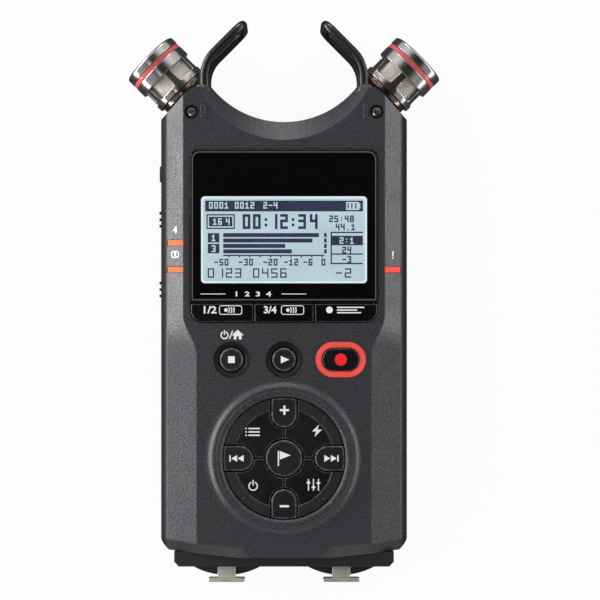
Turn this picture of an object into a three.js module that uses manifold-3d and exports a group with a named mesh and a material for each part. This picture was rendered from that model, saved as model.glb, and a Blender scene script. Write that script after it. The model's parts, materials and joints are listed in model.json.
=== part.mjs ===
// A portable four-track recorder with two swinging microphones, lying on its back.
// Millimetres. +Z points out of the display, +Y towards the microphones, +X to the display's right.
// Places along Y are measured from the bottom edge of the housing, depths along Z from its back.
import * as THREE from "three";
import { mergeVertices } from "three/addons/utils/BufferGeometryUtils.js";
import Module from "manifold-3d";

const degree = Math.PI / 180;

// Clearances
const snugGap = 0.1;
const keyGap = 0.25;
const slideGap = 0.3;

// Housing: outline seen from the front, with insets from its half width and drops from its top
const bodyHalfWidth = 35;
const bodyTop = 135.9;
const shoulderDrop = 9;
const shoulderRun = 6.1;
const pivotInset = 12.4;
const hornFlatReach = 1.4;
const hornCurveReach = 3.6;
const archRadius = 26.5;
const archRise = 16.9;
const archFaceRadius = 26.4;
const archFaceRise = 11.4;
const archBackRise = 13.6;
const cornerStartY = 8;
const cornerMiddleInset = 0.7;
const cornerMiddleY = 6.3;
const cornerEndInset = 2;
const cornerEndY = 4.55;
const lipOuterInset = 10.35;
const lipOuterY = 3.85;
const lipInnerX = 12.96;
const lipInnerY = 2.6;

// Housing: cross-section, with drops from the flat front
const faceZ = 33.5;
const splitZ = 17.5;
const sideTopDrop = 7.2;
const bevelShares = [[0.13, 0.39], [0.47, 0.71]]; // shares of the edge bevel's run and rise
const edgeBevelRun = 1.9;
const facetOuterDrop = 4.4;
const facetRun = 4.64;
const waistRun = 3.81;
const waistTopY = 71.5;
const waistBottomY = 60.2;
const backRun = 9;
const sideBottomZ = 9;
const wall = 2.4;
const sideWall = 2;
const floorWall = 2;
const cavityBottomY = 7;
const cavityTopDrop = 20.9;
const archEdgeDrop = 6;
const archRearEdgeZ = 6;

// Housing: lower bevels of the front
const bevelOuterY = 6.95;
const bevelInnerY = 5.96;
const bevelCentreX = 9.86;
const bevelCentreY = 3.3;
const bevelFloorDrop = 3.5;
const bevelCentreFloorY = 2.4;
const facetEndInset = 1.4;
const facetEndY = 8.04;
const facetEndDrop = 4.7;

// End panel with the two sockets
const panelInset = 3.8;
const panelDepthY = 4.1;
const panelBackZ = 3.5;
const panelFrontDrop = 5;
const panelCornerX = 1.3;
const panelCornerY = 1.4;
const socketInset = 14.9;
const socketZ = 14.5;
const padReach = 2.84;
const padRadius = 19.9;
const padHalfDepth = 10.1;
const barrelRadius = 9.9;
const barrelLength = 24;
const grooveOuterRadius = 9.2;
const coreRadius = 7.4;
const grooveDepth = 10;
const coreInset = 0.6;
const plugHoleRadius = 3.3;
const plugHoleDepth = 18;

// Release tabs of the sockets
const tabStemWidth = 5.1;
const tabStemThick = 1.6;
const tabStemDrop = 2.3;
const tabStemInnerY = 3.4;
const tabPadWidth = 10.4;
const tabPadThick = 1.1;
const tabPadDepth = 4.2;
const tabPadLift = 0.9;
const tabReach = 4.3;
const tabCorner = 0.45;
const tabTravel = 1.4;

// Display
const windowInset = 1.96;
const windowBottomY = 75.1;
const windowHeight = 43;
const windowCorner = 2.8;
const windowThick = 1.4;
const windowProud = 0.2;
const lcdInset = 1.9;
const lcdRise = 3.5;
const lcdHeight = 28.2;
const lcdGap = 0.4;

// Keys
const keyHeight = 4.9;
const keyProud = 0.4;
const keyTravel = 0.5;
const softKeyDrop = 0.3;
const softKeyHeight = 5.3;
const softKeyCorner = 3.1;
const softKeySplitX = 8.55;
const softKeyInset = 0.3;
const stopKeyInset = 9.85;
const keyRowY = 58.9;
const roundKeyRadius = 3.3;
const dishRim = 1.63;
const dishDepth = 0.7;
const flangeRim = 0.7;
const recordInset = 8.65;
const recordHalfLength = 5.2;
const recordRadius = 3.1;
const ringBorder = 1.9;
const ringThick = 1.7;
const ringProud = 0.25;

// Dial of nine keys
const dialY = 31.1;
const dialRadius = 17.1;
const dialRimWidth = 4.1;
const dialRimHeight = 1.2;
const dialRimShares = [[1, 0], [0.78, 0.42], [0.56, 0.83], [0.34, 1], [0.16, 0.96], [0, 0.6]];
const dialGroove = 0.4;
const armHalfWidth = 3.5;
const armInnerRadius = 8.7;
const enterRadius = 5.16;
const enterProud = 0.7;
const dialKeyProud = 0.6;
const quadrantDish = 0.35;
const quadrantBorder = 2.9;
const pipRadius = 0.4;
const pipHeight = 0.3;
const pipInset = 1.04;

// Indicator bars in the facets
const lampFacetGap = 0.1;
const lampHalfHeight = 0.78;
const lampDepth = 2.6;
const lampUpperY = 91.9;
const lampLowerY = 84.3;

// Microphones
const pivotDrop = 6.8;
const openAngle = 45 * degree;
const hubRadius = 7.2;
const hubHalfThick = 6;
const slotRim = 0.8;
const slotLength = 16;
const neckHalfWidth = 6.5;
const neckLength = 8.4;
const collarRadius = 7.3;
const micBase = 9.75;
const cageRadius = 8.25;
const cageWall = 0.85;
const windowStart = 11.5;
const windowLength = 4.6;
const windowSpan = 42 * degree;
const windowCount = 6;
const windowCornerRadius = 0.9;
const firstBarAngle = 3.6 * degree;
const headRim = 0.525;
const micTip = 23.03;
const tipChamfer = 0.5;
const bandStart = 19.05;
const bandWidth = 1.45;
const bandDepth = 0.75;
const bandInset = 0.12;
const meshGap = 0.3;
const meshThick = 0.5;
const capThick = 1.6;
const capDome = 0.5;
const capInset = 0.35;
const capsuleRadius = 5;
const capsuleLength = 20;
const pinRadius = 1.5;
const pinHalfLength = 8.6;

// Guards over the microphones
const rodRadius = 1.3;
const legSpread = 10.75;
const legDepth = 4.9;
const legRise = 7.4;
const guardRun = 10.5;
const bendRadius = 4.2;
const crossCorner = 3.4;
const footRim = 0.7;
const footRise = 0.9;
const footFlareRim = 2.1;
const footFlareDrop = 1.7;

// Screws and marks on the horns, measured from the pivots
const screwReach = 3.5;
const screwDrop = 0.35;
const screwRecessRadius = 1.89;
const screwRecessDepth = 1.4;
const screwHeadRadius = 1.3;
const screwHeadThick = 0.9;
const shankRadius = 0.8;
const shankLength = 6;
const markReach = 0.3;
const markDrop = 2.1;
const markLength = 3.9;
const markHalfWidth = 0.55;
const markHeight = 0.3;

// Side controls
const sideControlDrop = 11.5;
const inputSwitchY = 98.7;
const holdSwitchY = 78.7;
const switchHalfLength = 3.3;
const switchHalfHeight = 1.5;
const switchTravel = 2.4;
const switchInner = 1.7;
const ribCount = 3;
const ribPitch = 1.85;
const ribWidth = 0.8;
const ribProud = 0.65;
const rockerHalfLength = 5.5;
const rockerHalfHeight = 1.7;
const rockerThick = 1.6;
const rockerProud = 0.1;
const rockerRoom = 0.6;
const volumeY = 58;
const levelY = 106;
const phonesY = 111.7;
const phonesRadius = 2.4;
const phonesProud = 0.55;
const phonesLength = 12;
const phonesBore = 1.75;
const phonesBoreDepth = 10;
const remoteY = 45;
const remoteBore = 1.3;
const usbY = 45;
const usbHalfWidth = 4.5;
const usbHalfHeight = 1.6;
const usbDepth = 7;
const usbWall = 0.4;
const usbOpenDepth = 5.5;
const doorY = 82;
const doorHalfLength = 13.5;
const doorHalfHeight = 2.5;
const doorThick = 1.2;
const doorRecess = 1.5;
const cardHalfLength = 12.3;
const cardHalfHeight = 1.3;

// Inside
const boardInset = 9;
const boardBottomY = 8;
const boardTopY = 113.5;
const boardThick = 1.6;
const boardGap = 0.4;
const postRadius = 2;
const postPlaces = [[2.5, 111.2], [3.5, 67], [6, 10.2]]; // inset from the board's edge, and height
const cellRadius = 7.2;
const cellLength = 49.5;
const cellGap = 0.5;
const cellTipRadius = 2.7;
const cellTipLength = 1;
const boxWall = 1.2;
const boxBottomY = 58;
const boxTopY = 112;
const contactThick = 0.5;
const springBaseRadius = 3.6;
const springTipRadius = 2.2;
const coverRimWidth = 2;
const coverBottomOverlap = 1.6;
const coverTopOverlap = 1;
const coverThick = 1.7;
const coverFit = 0.2;
const coverTravel = 4.5;
const coverCorner = 2;
const coverGripY = 62;
const coverGripCount = 4;
const coverGripPitch = 1.6;
const coverGripWidth = 0.7;
const coverGripDepth = 0.4;
const coverGripHalfLength = 7;
const speakerY = 42;
const speakerGap = 1.1;
const speakerThick = 4.2;
const speakerMagnetRadius = 5;
const speakerMagnetThick = 2;
const speakerSlotCount = 5;
const speakerSlotPitch = 2.4;
const speakerSlotWidth = 1.1;
const speakerSlotHalfLength = 5.5;
const tripodY = 42;
const bushRadius = 4.8;
const bushHole = 3.1;
const bushLength = 8;
const bushHoleDepth = 6.5;
const bossWall = 2;
const backScrewInset = 12.6;
const backScrewRadius = 1.7;
const backScrewDepth = 3;
const backScrewPlaces = [16, 118];

// Making
const over = 1; // a cut runs this far past the surface that it opens
const touch = 0.05; // parts fused together run this far into each other
const fineSegments = 40;
const segments = 24;
const smallSegments = 10;
const cageSegments = 30;
const curveSegments = 5;
const tinySteps = 3;
const archSteps = 32;
const archHalfSpan = 70 * degree;
const backCurveSteps = 5;
const waistSteps = 8;
const rodSides = 8;
const rodSteps = 36;

// Places that follow from the sizes
const pivotX = bodyHalfWidth - pivotInset;
const pivotY = bodyTop - pivotDrop;
const lipOuterX = bodyHalfWidth - lipOuterInset;
const sideTopZ = faceZ - sideTopDrop;
const facetOuterX = bodyHalfWidth - edgeBevelRun;
const facetOuterZ = faceZ - facetOuterDrop;
const faceHalfWidth = facetOuterX - facetRun;
const waistHalfWidth = faceHalfWidth - waistRun;
const backHalfWidth = bodyHalfWidth - backRun;
const cavityTopY = bodyTop - cavityTopDrop;
const archCentreY = bodyTop + archRise;
const archEdgeZ = faceZ - archEdgeDrop;
const bevelFloorZ = faceZ - bevelFloorDrop;
const panelHalfWidth = bodyHalfWidth - panelInset;
const panelFrontZ = faceZ - panelFrontDrop;
const socketX = panelHalfWidth - socketInset;
const tabStemZ = panelFrontZ - tabStemDrop;
const tabPadZ = tabStemZ + tabPadLift;
const windowHalfWidth = faceHalfWidth - windowInset;
const windowTopY = windowBottomY + windowHeight;
const lcdHalfWidth = windowHalfWidth - lcdInset;
const lcdBottomY = windowBottomY + lcdRise;
const lcdTopY = lcdBottomY + lcdHeight;
const ledgeZ = faceZ + windowProud - windowThick;
const keyTopZ = faceZ + keyProud;
const keyBottomZ = keyTopZ - keyHeight;
const softKeyTopY = windowBottomY - softKeyDrop;
const softKeyBottomY = softKeyTopY - softKeyHeight;
const softKeyOuterX = windowHalfWidth - softKeyInset;
const stopKeyX = stopKeyInset - waistHalfWidth;
const recordX = waistHalfWidth - recordInset;
const ringHalfLength = recordHalfLength + ringBorder;
const ringRadius = recordRadius + ringBorder;
const dialHoleRadius = dialRadius + slideGap;
const dialRimOuter = dialHoleRadius + dialRimWidth;
const dialTopZ = faceZ + dialKeyProud;
const lampOuterX = facetOuterX - lampFacetGap;
const lampInnerX = faceHalfWidth + lampFacetGap;
const slotHalfThick = hubHalfThick + slideGap;
const slotRadius = hubRadius + slotRim;
const headRadius = cageRadius + headRim;
const windowEnd = windowStart + windowLength;
const cageBore = cageRadius - cageWall;
const meshRadius = cageBore - meshGap;
const legEndY = bodyTop - legDepth;
const bendY = bodyTop + legRise;
const footTopY = bodyTop + footRise;
const footRadius = rodRadius + footRim;
const footFlareRadius = rodRadius + footFlareRim;
const screwX = pivotX + screwReach;
const screwY = pivotY - screwDrop;
const sideZ = faceZ - sideControlDrop;
const boardHalfWidth = bodyHalfWidth - boardInset;
const boardZ = keyBottomZ - keyTravel - boardGap - boardThick;
const cellPitch = cellRadius * 2 + slideGap;
const boxHalfWidth = cellPitch + cellRadius + cellGap;
const coverHalfWidth = boxHalfWidth + coverRimWidth;
const coverBottomY = boxBottomY - coverBottomOverlap;
const coverTopY = boxTopY + coverTopOverlap;
const cellZ = coverThick + slideGap + cellRadius;
const bossRadius = bushRadius + bossWall;
const speakerX = -(backHalfWidth + bossRadius) / 2;
const speakerRadius = (backHalfWidth - bossRadius) / 2 - speakerGap;
const sides = [["left", -1], ["right", 1]];

const plastic = new THREE.MeshStandardMaterial({ color: 0x3a3a3e, roughness: 0.6, metalness: 0 });
const glossBlack = new THREE.MeshStandardMaterial({ color: 0x0b0b0d, roughness: 0.12, metalness: 0 });
const keyBlack = new THREE.MeshStandardMaterial({ color: 0x1b1b1e, roughness: 0.3, metalness: 0 });
const panelBlack = new THREE.MeshStandardMaterial({ color: 0x2a2a2d, roughness: 0.5, metalness: 0 });
const darkNickel = new THREE.MeshStandardMaterial({ color: 0x8d8780, roughness: 0.22, metalness: 1 });
const brightNickel = new THREE.MeshStandardMaterial({ color: 0xc8c4bc, roughness: 0.25, metalness: 1 });
const meshGrey = new THREE.MeshStandardMaterial({ color: 0x9f988f, roughness: 0.6, metalness: 0.4 });
const bandRed = new THREE.MeshStandardMaterial({ color: 0xb8505a, roughness: 0.4, metalness: 0 });
const glowRed = new THREE.MeshStandardMaterial({ color: 0xdb5650, roughness: 0.4, metalness: 0 });
const lampOrange = new THREE.MeshStandardMaterial({ color: 0xf3935a, roughness: 0.4, metalness: 0 });
const boardGreen = new THREE.MeshStandardMaterial({ color: 0x1f5a3a, roughness: 0.5, metalness: 0 });
const lcdBlue = new THREE.MeshStandardMaterial({ color: 0xb4cbd4, roughness: 0.4, metalness: 0 });
const brass = new THREE.MeshStandardMaterial({ color: 0xb59a55, roughness: 0.35, metalness: 1 });
const cellGrey = new THREE.MeshStandardMaterial({ color: 0x5d6570, roughness: 0.4, metalness: 0.3 });

const wasm = await Module();
wasm.setup();
const recorder = new THREE.Group();

// Turns the faces round where a geometry encloses a negative volume.
function facingOut(geometry) {
  const place = geometry.attributes.position;
  const index = geometry.index.array;
  const [a, b, c] = [new THREE.Vector3(), new THREE.Vector3(), new THREE.Vector3()];
  let volume = 0;
  for (let i = 0; i < index.length; i += 3) {
    a.fromBufferAttribute(place, index[i]);
    b.fromBufferAttribute(place, index[i + 1]);
    c.fromBufferAttribute(place, index[i + 2]);
    volume += a.dot(b.cross(c));
  }
  if (volume < 0) {
    for (let i = 0; i < index.length; i += 3) {
      [index[i], index[i + 1]] = [index[i + 1], index[i]];
    }
  }
  return geometry;
}

// A closed geometry as a solid that can be joined and cut.
function solid(geometry) {
  const bare = geometry.index ? geometry.toNonIndexed() : geometry.clone();
  bare.deleteAttribute("normal");
  bare.deleteAttribute("uv");
  const merged = facingOut(mergeVertices(bare));
  return new wasm.Manifold(new wasm.Mesh({
    numProp: 3,
    vertProperties: new Float32Array(merged.attributes.position.array),
    triVerts: new Uint32Array(merged.index.array),
  }));
}

function cut(base, ...tools) {
  return tools.reduce((left, tool) => left.subtract(tool), base);
}

function join(first, ...others) {
  return others.reduce((sum, other) => sum.add(other), first);
}

// Adds a named piece to the recorder, or to a group that turns.
function piece(name, shape, material, parent = recorder) {
  const made = shape.getMesh();
  const indexed = new THREE.BufferGeometry();
  indexed.setAttribute("position", new THREE.BufferAttribute(made.vertProperties, 3));
  indexed.setIndex(new THREE.BufferAttribute(made.triVerts, 1));
  const geometry = indexed.toNonIndexed();
  geometry.computeVertexNormals();
  const mesh = new THREE.Mesh(geometry, material);
  mesh.name = name;
  parent.add(mesh);
}

// A block between two corners; the two ends along X may come in either order.
function block(x0, x1, y0, y1, z0, z1) {
  const geometry = new THREE.BoxGeometry(Math.abs(x1 - x0), y1 - y0, z1 - z0);
  geometry.translate((x0 + x1) / 2, (y0 + y1) / 2, (z0 + z1) / 2);
  return solid(geometry);
}

// An outline in XY raised from z0 to z1.
function prism(outline, z0, z1, steps = curveSegments) {
  const geometry = new THREE.ExtrudeGeometry(outline, {
    depth: z1 - z0, bevelEnabled: false, curveSegments: steps });
  geometry.translate(0, 0, z0);
  return solid(geometry);
}

function shapeOf(points) {
  return new THREE.Shape(points.map(([x, y]) => new THREE.Vector2(x, y)));
}

// An outline of the right half, from the middle line to the middle line, with its mirror image.
function mirrored(points) {
  return [...points, ...points.map(([x, y]) => [-x, y]).reverse()];
}

// A round-cornered rectangle; radii run lower left, lower right, upper right, upper left.
function roundedRect(x0, x1, y0, y1, radii) {
  const [ll, lr, ur, ul] = Array.isArray(radii) ? radii : [radii, radii, radii, radii];
  const shape = new THREE.Shape();
  shape.moveTo(x0 + ll, y0);
  shape.lineTo(x1 - lr, y0);
  if (lr) shape.absarc(x1 - lr, y0 + lr, lr, -90 * degree, 0);
  shape.lineTo(x1, y1 - ur);
  if (ur) shape.absarc(x1 - ur, y1 - ur, ur, 0, 90 * degree);
  shape.lineTo(x0 + ul, y1);
  if (ul) shape.absarc(x0 + ul, y1 - ul, ul, 90 * degree, 180 * degree);
  shape.lineTo(x0, y0 + ll);
  if (ll) shape.absarc(x0 + ll, y0 + ll, ll, 180 * degree, 270 * degree);
  return shape;
}

function stadium(x, y, halfLength, radius) {
  return roundedRect(x - halfLength, x + halfLength, y - radius, y + radius, radius);
}

// A profile of [radius, height] pairs turned about the Y axis.
function turned(profile, steps = segments) {
  return new THREE.LatheGeometry(profile.map(([r, h]) => new THREE.Vector2(r, h)), steps);
}

// The same, turned about an axis along Z.
function turnedZ(profile, x, y, steps = segments) {
  const geometry = turned(profile, steps);
  geometry.rotateX(90 * degree);
  geometry.translate(x, y, 0);
  return solid(geometry);
}

function rodZ(radius, z0, z1, x, y, steps = segments) {
  return turnedZ([[0, z0], [radius, z0], [radius, z1], [0, z1]], x, y, steps);
}

function rodX(radius, x0, x1, y, z, steps = smallSegments) {
  const geometry = turned([[0, x0], [radius, x0], [radius, x1], [0, x1]], steps);
  geometry.rotateZ(-90 * degree);
  geometry.translate(0, y, z);
  return solid(geometry);
}

function rodY(radius, y0, y1, x, z, steps = segments) {
  const geometry = turned([[0, y0], [radius, y0], [radius, y1], [0, y1]], steps);
  geometry.translate(x, 0, z);
  return solid(geometry);
}

// A skin over rings of points, with a flat cap at each end. All rings have as many points.
function loft(drawnRings, capOf) {
  const clockwise = THREE.ShapeUtils.isClockWise(drawnRings[0].map(capOf));
  const rings = clockwise ? drawnRings.map((ring) => [...ring].reverse()) : drawnRings;
  const count = rings[0].length;
  const index = [];
  rings.slice(1).forEach((_, level) => {
    for (let i = 0; i < count; i += 1) {
      const a = level * count + i;
      const b = level * count + (i + 1) % count;
      index.push(a, b, b + count, a, b + count, a + count);
    }
  });
  const cap = THREE.ShapeUtils.triangulateShape(rings[0].map(capOf), []);
  const last = (rings.length - 1) * count;
  for (const [a, b, c] of cap) {
    index.push(c, b, a, last + a, last + b, last + c);
  }
  const geometry = new THREE.BufferGeometry();
  geometry.setAttribute("position", new THREE.Float32BufferAttribute(
    rings.flat().flatMap((p) => [p.x, p.y, p.z]), 3));
  geometry.setIndex(index);
  return solid(geometry);
}

const seenFromAbove = (p) => new THREE.Vector2(p.x, p.y);
const seenFromBelow = (p) => new THREE.Vector2(p.x, p.z);
const atHeight = (z) => ([x, y]) => new THREE.Vector3(x, y, z);
const atLength = (y) => ([x, z]) => new THREE.Vector3(x, y, z);

// Half width of the flat front at a height: it draws in below the display.
function faceHalfAt(y) {
  const share = THREE.MathUtils.smoothstep(y, waistBottomY, waistTopY);
  return waistHalfWidth + waistRun * share;
}

// The front half's cross-section, drawn in by an inset at the sides and by another at the face.
function frontRing(y, sideInset, faceInset, bottomZ) {
  const bevelRise = facetOuterZ - sideTopZ;
  const half = [
    [bodyHalfWidth - sideInset, bottomZ],
    [bodyHalfWidth - sideInset, sideTopZ - faceInset],
    ...bevelShares.map(([run, rise]) => [
      bodyHalfWidth - sideInset - run * edgeBevelRun, sideTopZ - faceInset + rise * bevelRise]),
    [facetOuterX - sideInset, facetOuterZ - faceInset],
    [faceHalfAt(y) - sideInset, faceZ - faceInset],
  ];
  return mirrored(half).map(atLength(y));
}

function frontLoft(y0, y1, sideInset, faceInset, bottomZ) {
  const waist = Array.from({ length: waistSteps + 1 }, (_, i) => (
    THREE.MathUtils.lerp(waistBottomY, waistTopY, i / waistSteps)));
  return loft([y0, ...waist, y1].map((y) => frontRing(y, sideInset, faceInset, bottomZ)), seenFromBelow);
}

// The housing's outline seen from the front, before the arch is cut.
function planOutline() {
  const shoulderY = bodyTop - shoulderDrop;
  const shoulderEnd = [bodyHalfWidth - shoulderRun, shoulderY + shoulderRun];
  const shape = new THREE.Shape();
  shape.moveTo(lipInnerX, lipInnerY);
  shape.lineTo(lipOuterX, lipOuterY);
  shape.lineTo(bodyHalfWidth - cornerEndInset, cornerEndY);
  shape.lineTo(bodyHalfWidth - cornerMiddleInset, cornerMiddleY);
  shape.lineTo(bodyHalfWidth, cornerStartY);
  shape.lineTo(bodyHalfWidth, shoulderY);
  shape.lineTo(...shoulderEnd);
  shape.quadraticCurveTo(pivotX + hornCurveReach, bodyTop, pivotX + hornFlatReach, bodyTop);
  shape.lineTo(-pivotX - hornFlatReach, bodyTop);
  shape.quadraticCurveTo(-pivotX - hornCurveReach, bodyTop, -shoulderEnd[0], shoulderEnd[1]);
  shape.lineTo(-bodyHalfWidth, shoulderY);
  shape.lineTo(-bodyHalfWidth, cornerStartY);
  shape.lineTo(cornerMiddleInset - bodyHalfWidth, cornerMiddleY);
  shape.lineTo(cornerEndInset - bodyHalfWidth, cornerEndY);
  shape.lineTo(-lipOuterX, lipOuterY);
  shape.lineTo(-lipInnerX, lipInnerY);
  return shape;
}
const plan = planOutline();

// The arch between the horns: a round cut that leans back towards both faces.
function archRing(z, centreY, radius) {
  return Array.from({ length: archSteps + 1 }, (_, i) => {
    const angle = -90 * degree + (i / archSteps * 2 - 1) * archHalfSpan;
    return [Math.cos(angle) * radius, centreY + Math.sin(angle) * radius];
  }).map(atHeight(z));
}
const faceLean = (archRise - archFaceRise) / archEdgeDrop;
const backLean = (archRise - archBackRise) / archRearEdgeZ;
const archCut = loft([
  archRing(-over, bodyTop + archBackRise - backLean * over, archRadius),
  archRing(archRearEdgeZ, archCentreY, archRadius),
  archRing(archEdgeZ, archCentreY, archRadius),
  archRing(faceZ + over, bodyTop + archFaceRise - faceLean * over, archFaceRadius),
], seenFromAbove);

// A slot in a horn, in which a microphone's hub turns.
function hornSlot(side) {
  const outer = [side * Math.sin(openAngle), Math.cos(openAngle)];
  const inner = [-outer[0], outer[1]];
  const at = (direction, along, across) => [
    side * pivotX + direction[0] * along + side * direction[1] * across,
    pivotY + direction[1] * along - side * direction[0] * across];
  const fan = shapeOf([
    at(outer, 0, slotRadius), at(outer, slotLength, slotRadius),
    at(inner, slotLength, -slotRadius), at(inner, 0, -slotRadius)]);
  const [low, high] = [splitZ - slotHalfThick, splitZ + slotHalfThick];
  return join(rodZ(slotRadius, low, high, side * pivotX, pivotY), prism(fan, low, high));
}
const hornSlots = sides.map(([, side]) => hornSlot(side));
const pinHoles = sides.map(([, side]) => rodZ(
  pinRadius + snugGap, splitZ - pinHalfLength - snugGap, splitZ + pinHalfLength + snugGap,
  side * pivotX, pivotY, smallSegments));
const legHoles = sides.flatMap(([, side]) => [-1, 1].map((end) => rodY(
  rodRadius + snugGap, legEndY - snugGap, footTopY + over,
  side * pivotX, splitZ + end * legSpread, smallSegments)));
const socketBores = sides.map(([, side]) => rodY(
  barrelRadius + keyGap, -over - padReach, barrelLength, side * socketX, socketZ));
const tabSlots = sides.map(([, side]) => block(
  side * socketX - tabStemWidth / 2 - keyGap, side * socketX + tabStemWidth / 2 + keyGap,
  -over, tabStemInnerY + tabTravel + slideGap,
  tabStemZ - tabStemThick / 2 - keyGap, tabStemZ + tabStemThick / 2 + keyGap));
const panelRoom = block(
  -panelHalfWidth - snugGap, panelHalfWidth + snugGap, -over - padReach, panelDepthY,
  panelBackZ - snugGap, panelFrontZ + snugGap);

// Round foot of a guard's leg on top of a horn.
function guardFoot(side, end) {
  const geometry = turned([
    [0, bodyTop - footFlareRadius], [footFlareRadius, bodyTop - footFlareRadius],
    [footFlareRadius, footTopY - footFlareDrop], [footRadius, footTopY], [0, footTopY]], segments / 2);
  geometry.translate(side * pivotX, 0, splitZ + end * legSpread);
  return solid(geometry);
}

// The light bevel along the lower edge of the front, between the corners.
function lowerBevel() {
  const top = mirrored([
    [bevelCentreX, bevelCentreY], [lipInnerX, bevelInnerY], [lipOuterX, bevelOuterY],
    [lipOuterX, -over]]);
  const floor = mirrored([
    [bevelCentreX, bevelCentreFloorY], [lipInnerX, lipInnerY], [lipOuterX, lipOuterY],
    [lipOuterX, -over]]);
  const raise = over / bevelFloorDrop;
  const above = top.map(([x, y], i) => [x, y + (y - floor[i][1]) * raise]);
  return loft([floor.map(atHeight(bevelFloorZ)), above.map(atHeight(faceZ + over))], seenFromAbove);
}

// The dark bevel that cuts a lower corner of the front, across the facet.
function cornerBevel(side) {
  const plane = new THREE.Plane().setFromCoplanarPoints(
    new THREE.Vector3(bodyHalfWidth - facetEndInset, facetEndY, faceZ - facetEndDrop),
    new THREE.Vector3(lipOuterX, bevelOuterY, faceZ),
    new THREE.Vector3(lipOuterX, lipOuterY, bevelFloorZ));
  const yAt = (x, z) => -(plane.constant + plane.normal.x * x + plane.normal.z * z) / plane.normal.y;
  const outerX = bodyHalfWidth + over;
  const low = Math.min(yAt(lipOuterX, splitZ), 0) - over;
  return loft([splitZ, faceZ + over].map((z) => [
    [side * lipOuterX, yAt(lipOuterX, z)], [side * outerX, yAt(outerX, z)],
    [side * outerX, low], [side * lipOuterX, low],
  ].map(atHeight(z))), seenFromAbove);
}

const dialRim = turnedZ([
  [0, faceZ - wall], [dialRimOuter, faceZ - wall],
  ...dialRimShares.map(([run, rise]) => [dialHoleRadius + run * dialRimWidth, faceZ + rise * dialRimHeight]),
  [0, faceZ + dialRimHeight / 2]], 0, dialY, fineSegments);
const windowRecess = prism(roundedRect(
  -windowHalfWidth - keyGap, windowHalfWidth + keyGap, windowBottomY - keyGap, windowTopY + keyGap,
  [0, 0, windowCorner + keyGap, windowCorner + keyGap]), ledgeZ, faceZ + over);
const lcdOpening = block(
  -lcdHalfWidth - slideGap, lcdHalfWidth + slideGap, lcdBottomY - slideGap, lcdTopY + slideGap,
  faceZ - wall - over, ledgeZ + touch);
const softKeyOpening = prism(roundedRect(
  -softKeyOuterX - keyGap, softKeyOuterX + keyGap, softKeyBottomY - keyGap, softKeyTopY + keyGap,
  [softKeyCorner + keyGap, softKeyCorner + keyGap, 0, 0]), faceZ - wall - over, faceZ + over);

// A key's dish and the hole through it.
function dishedHole(x) {
  const dishRadius = roundKeyRadius + dishRim;
  return join(
    turnedZ([[0, faceZ - dishDepth], [roundKeyRadius + keyGap, faceZ - dishDepth],
      [dishRadius, faceZ], [dishRadius, faceZ + over], [0, faceZ + over]], x, keyRowY),
    rodZ(roundKeyRadius + keyGap, faceZ - wall - over, faceZ, x, keyRowY));
}
const recordHoleOutline = stadium(recordX, keyRowY, recordHalfLength + keyGap, recordRadius + keyGap);
const ringRecess = prism(
  stadium(recordX, keyRowY, ringHalfLength + snugGap, ringRadius + snugGap), faceZ - ringThick, faceZ + over);
const recordHole = prism(recordHoleOutline, faceZ - wall - over, faceZ);
const dialHole = rodZ(
  dialHoleRadius, faceZ - wall - over, faceZ + dialRimHeight + over, 0, dialY, fineSegments);
const posts = postPlaces.flatMap(([inset, y]) => sides.map(([, side]) => rodZ(
  postRadius, boardZ + boardThick, faceZ - wall + touch, side * (boardHalfWidth - inset), y, smallSegments)));

const lampBars = [
  ["track_lamp_upper", -1, lampUpperY, lampOrange],
  ["track_lamp_lower", -1, lampLowerY, lampOrange],
  ["peak_lamp", 1, lampLowerY, glowRed],
];
function lampBox(side, y, room) {
  return block(
    side * (lampInnerX - room), side * (lampOuterX + room),
    y - lampHalfHeight - room, y + lampHalfHeight + room, facetOuterZ - lampDepth - room, faceZ + over);
}

// A room for a side control: a block that reaches into the side wall by a depth.
function sideRoom(side, y, halfLength, halfHeight, depth) {
  return block(
    side * (bodyHalfWidth - depth), side * (bodyHalfWidth + over), y - halfLength, y + halfLength,
    sideZ - halfHeight, sideZ + halfHeight);
}
const throughWall = sideWall + over;
const rockerSpace = [rockerHalfLength + slideGap, rockerHalfHeight + slideGap, rockerThick + rockerRoom];
const switchSpace = [switchHalfHeight + slideGap, sideWall + touch];
const switchRoomHalf = switchHalfLength + slideGap;
const sideRooms = [
  sideRoom(-1, inputSwitchY, switchRoomHalf + switchTravel, ...switchSpace),
  sideRoom(-1, holdSwitchY + switchTravel / 2, switchRoomHalf + switchTravel / 2, ...switchSpace),
  sideRoom(-1, volumeY, ...rockerSpace),
  sideRoom(1, levelY, ...rockerSpace),
  sideRoom(1, doorY, doorHalfLength + slideGap, doorHalfHeight + slideGap, doorRecess),
  sideRoom(1, doorY, cardHalfLength, cardHalfHeight, throughWall),
  sideRoom(1, usbY, usbHalfWidth + keyGap, usbHalfHeight + keyGap, usbDepth + over),
  rodX(phonesRadius + keyGap, -bodyHalfWidth - over, throughWall - bodyHalfWidth, phonesY, sideZ),
  rodX(remoteBore, -bodyHalfWidth - over, throughWall - bodyHalfWidth, remoteY, sideZ),
];

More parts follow.
